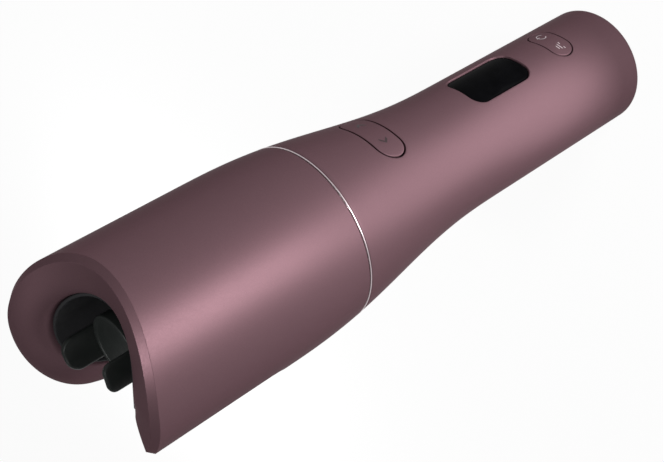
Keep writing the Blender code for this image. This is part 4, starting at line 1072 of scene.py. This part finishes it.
def floor():
    """A round floor that curves up into a low backdrop on all sides."""
    profile = [(FLOOR_FLAT * i / 4, 0.0) for i in range(1, 4)]
    profile += [(FLOOR_FLAT + BACKDROP_CURVE * math.sin(angle), BACKDROP_CURVE * (1 - math.cos(angle)))
                for angle in spread(0.0, math.pi / 2, 16)]
    count = 96
    turns = [360.0 * i / count for i in range(count)]
    rings = [[(*place(radius, turn), height + FLOOR_LEVEL) for turn in turns]
             for radius, height in profile]
    verts = [(0.0, 0.0, FLOOR_LEVEL)]
    faces = [(0, 1 + (i + 1) % count, 1 + i) for i in range(count)]
    for row, ring in enumerate(rings):
        low = len(verts)
        verts += ring
        if row == len(rings) - 1:
            break
        for i in range(count):
            here, beside = low + i, low + (i + 1) % count
            faces.append((here, beside, beside + count, here + count))
    mesh = bpy.data.meshes.new("studio_floor")
    mesh.from_pydata(verts, [], faces)
    mesh.polygons.foreach_set("use_smooth", [True] * len(faces))
    mesh.materials.append(floor_look())
    thing = bpy.data.objects.new("studio_floor", mesh)
    bpy.context.scene.collection.objects.link(thing)


def around(azimuth, distance, height):
    """A place round the curler's axis, azimuth 0 in front of the buttons."""
    angle = math.radians(azimuth)
    return distance * math.sin(angle), -distance * math.cos(angle), height


def area_light(name, size, power):
    """A rectangular light that the camera doesn't see."""
    light = bpy.data.lights.new(name, "AREA")
    light.shape = "RECTANGLE"
    light.size, light.size_y = size
    light.energy = power
    thing = bpy.data.objects.new(name, light)
    thing.visible_camera = False
    bpy.context.scene.collection.objects.link(thing)
    return thing


def soft_box(lamp):
    """A light that aims at the curler's axis from an azimuth and an elevation."""
    thing = area_light(lamp.name, lamp.size, lamp.power)
    elevation = math.radians(lamp.elevation)
    away = Vector(around(lamp.azimuth, math.cos(elevation), math.sin(elevation)))
    thing.location = Vector((0.0, 0.0, lamp.aim_height)) + away * lamp.distance
    thing.rotation_euler = away.to_track_quat("Z", "Y").to_euler()


def floor_strip():
    """A strip light that lies on the floor and shines up."""
    thing = area_light("floor_strip", STRIP_SIZE, STRIP_POWER)
    thing.location = around(STRIP_AZIMUTH, STRIP_DISTANCE, STRIP_HEIGHT)
    thing.rotation_euler = (math.pi, 0.0, math.radians(STRIP_AZIMUTH))


def back_glow():
    """A round lamp low behind the curler, for the side that the camera doesn't see."""
    light = bpy.data.lights.new("back_glow", "POINT")
    light.shadow_soft_size = GLOW_RADIUS
    light.energy = GLOW_POWER
    thing = bpy.data.objects.new("back_glow", light)
    thing.location = around(GLOW_AZIMUTH, GLOW_DISTANCE, GLOW_HEIGHT)
    bpy.context.scene.collection.objects.link(thing)


def photo_camera():
    """The camera as it was fitted to the photograph, rolled and from above."""
    data = bpy.data.cameras.new("photo_camera")
    data.sensor_width = CAMERA_SENSOR
    data.lens = CAMERA_LENS
    data.clip_start = CAMERA_CLIP
    camera = bpy.data.objects.new("photo_camera", data)
    camera.location = CAMERA_PLACE
    camera.rotation_euler = [math.radians(angle) for angle in CAMERA_TURN]
    bpy.context.scene.collection.objects.link(camera)
    bpy.context.scene.camera = camera


def studio():
    """Even white surroundings, a pale floor, soft lights and the camera."""
    world = bpy.data.worlds.new("studio")
    world.use_nodes = True
    background = world.node_tree.nodes["Background"]
    background.inputs["Color"].default_value = (1.0, 1.0, 1.0, 1.0)
    background.inputs["Strength"].default_value = WORLD_LEVEL
    bpy.context.scene.world = world
    for lamp in LAMPS:
        soft_box(lamp)
    floor_strip()
    back_glow()
    floor()
    photo_camera()
    bpy.context.scene.view_settings.view_transform = "Standard"


studio()
head_skin()
liner_sleeve()
trim_ring()
fork()
barrel_tube()
barrel_nose()
handle_skin()
keys_and_window()
marks()
end_plate()
dress_inner_nodes()
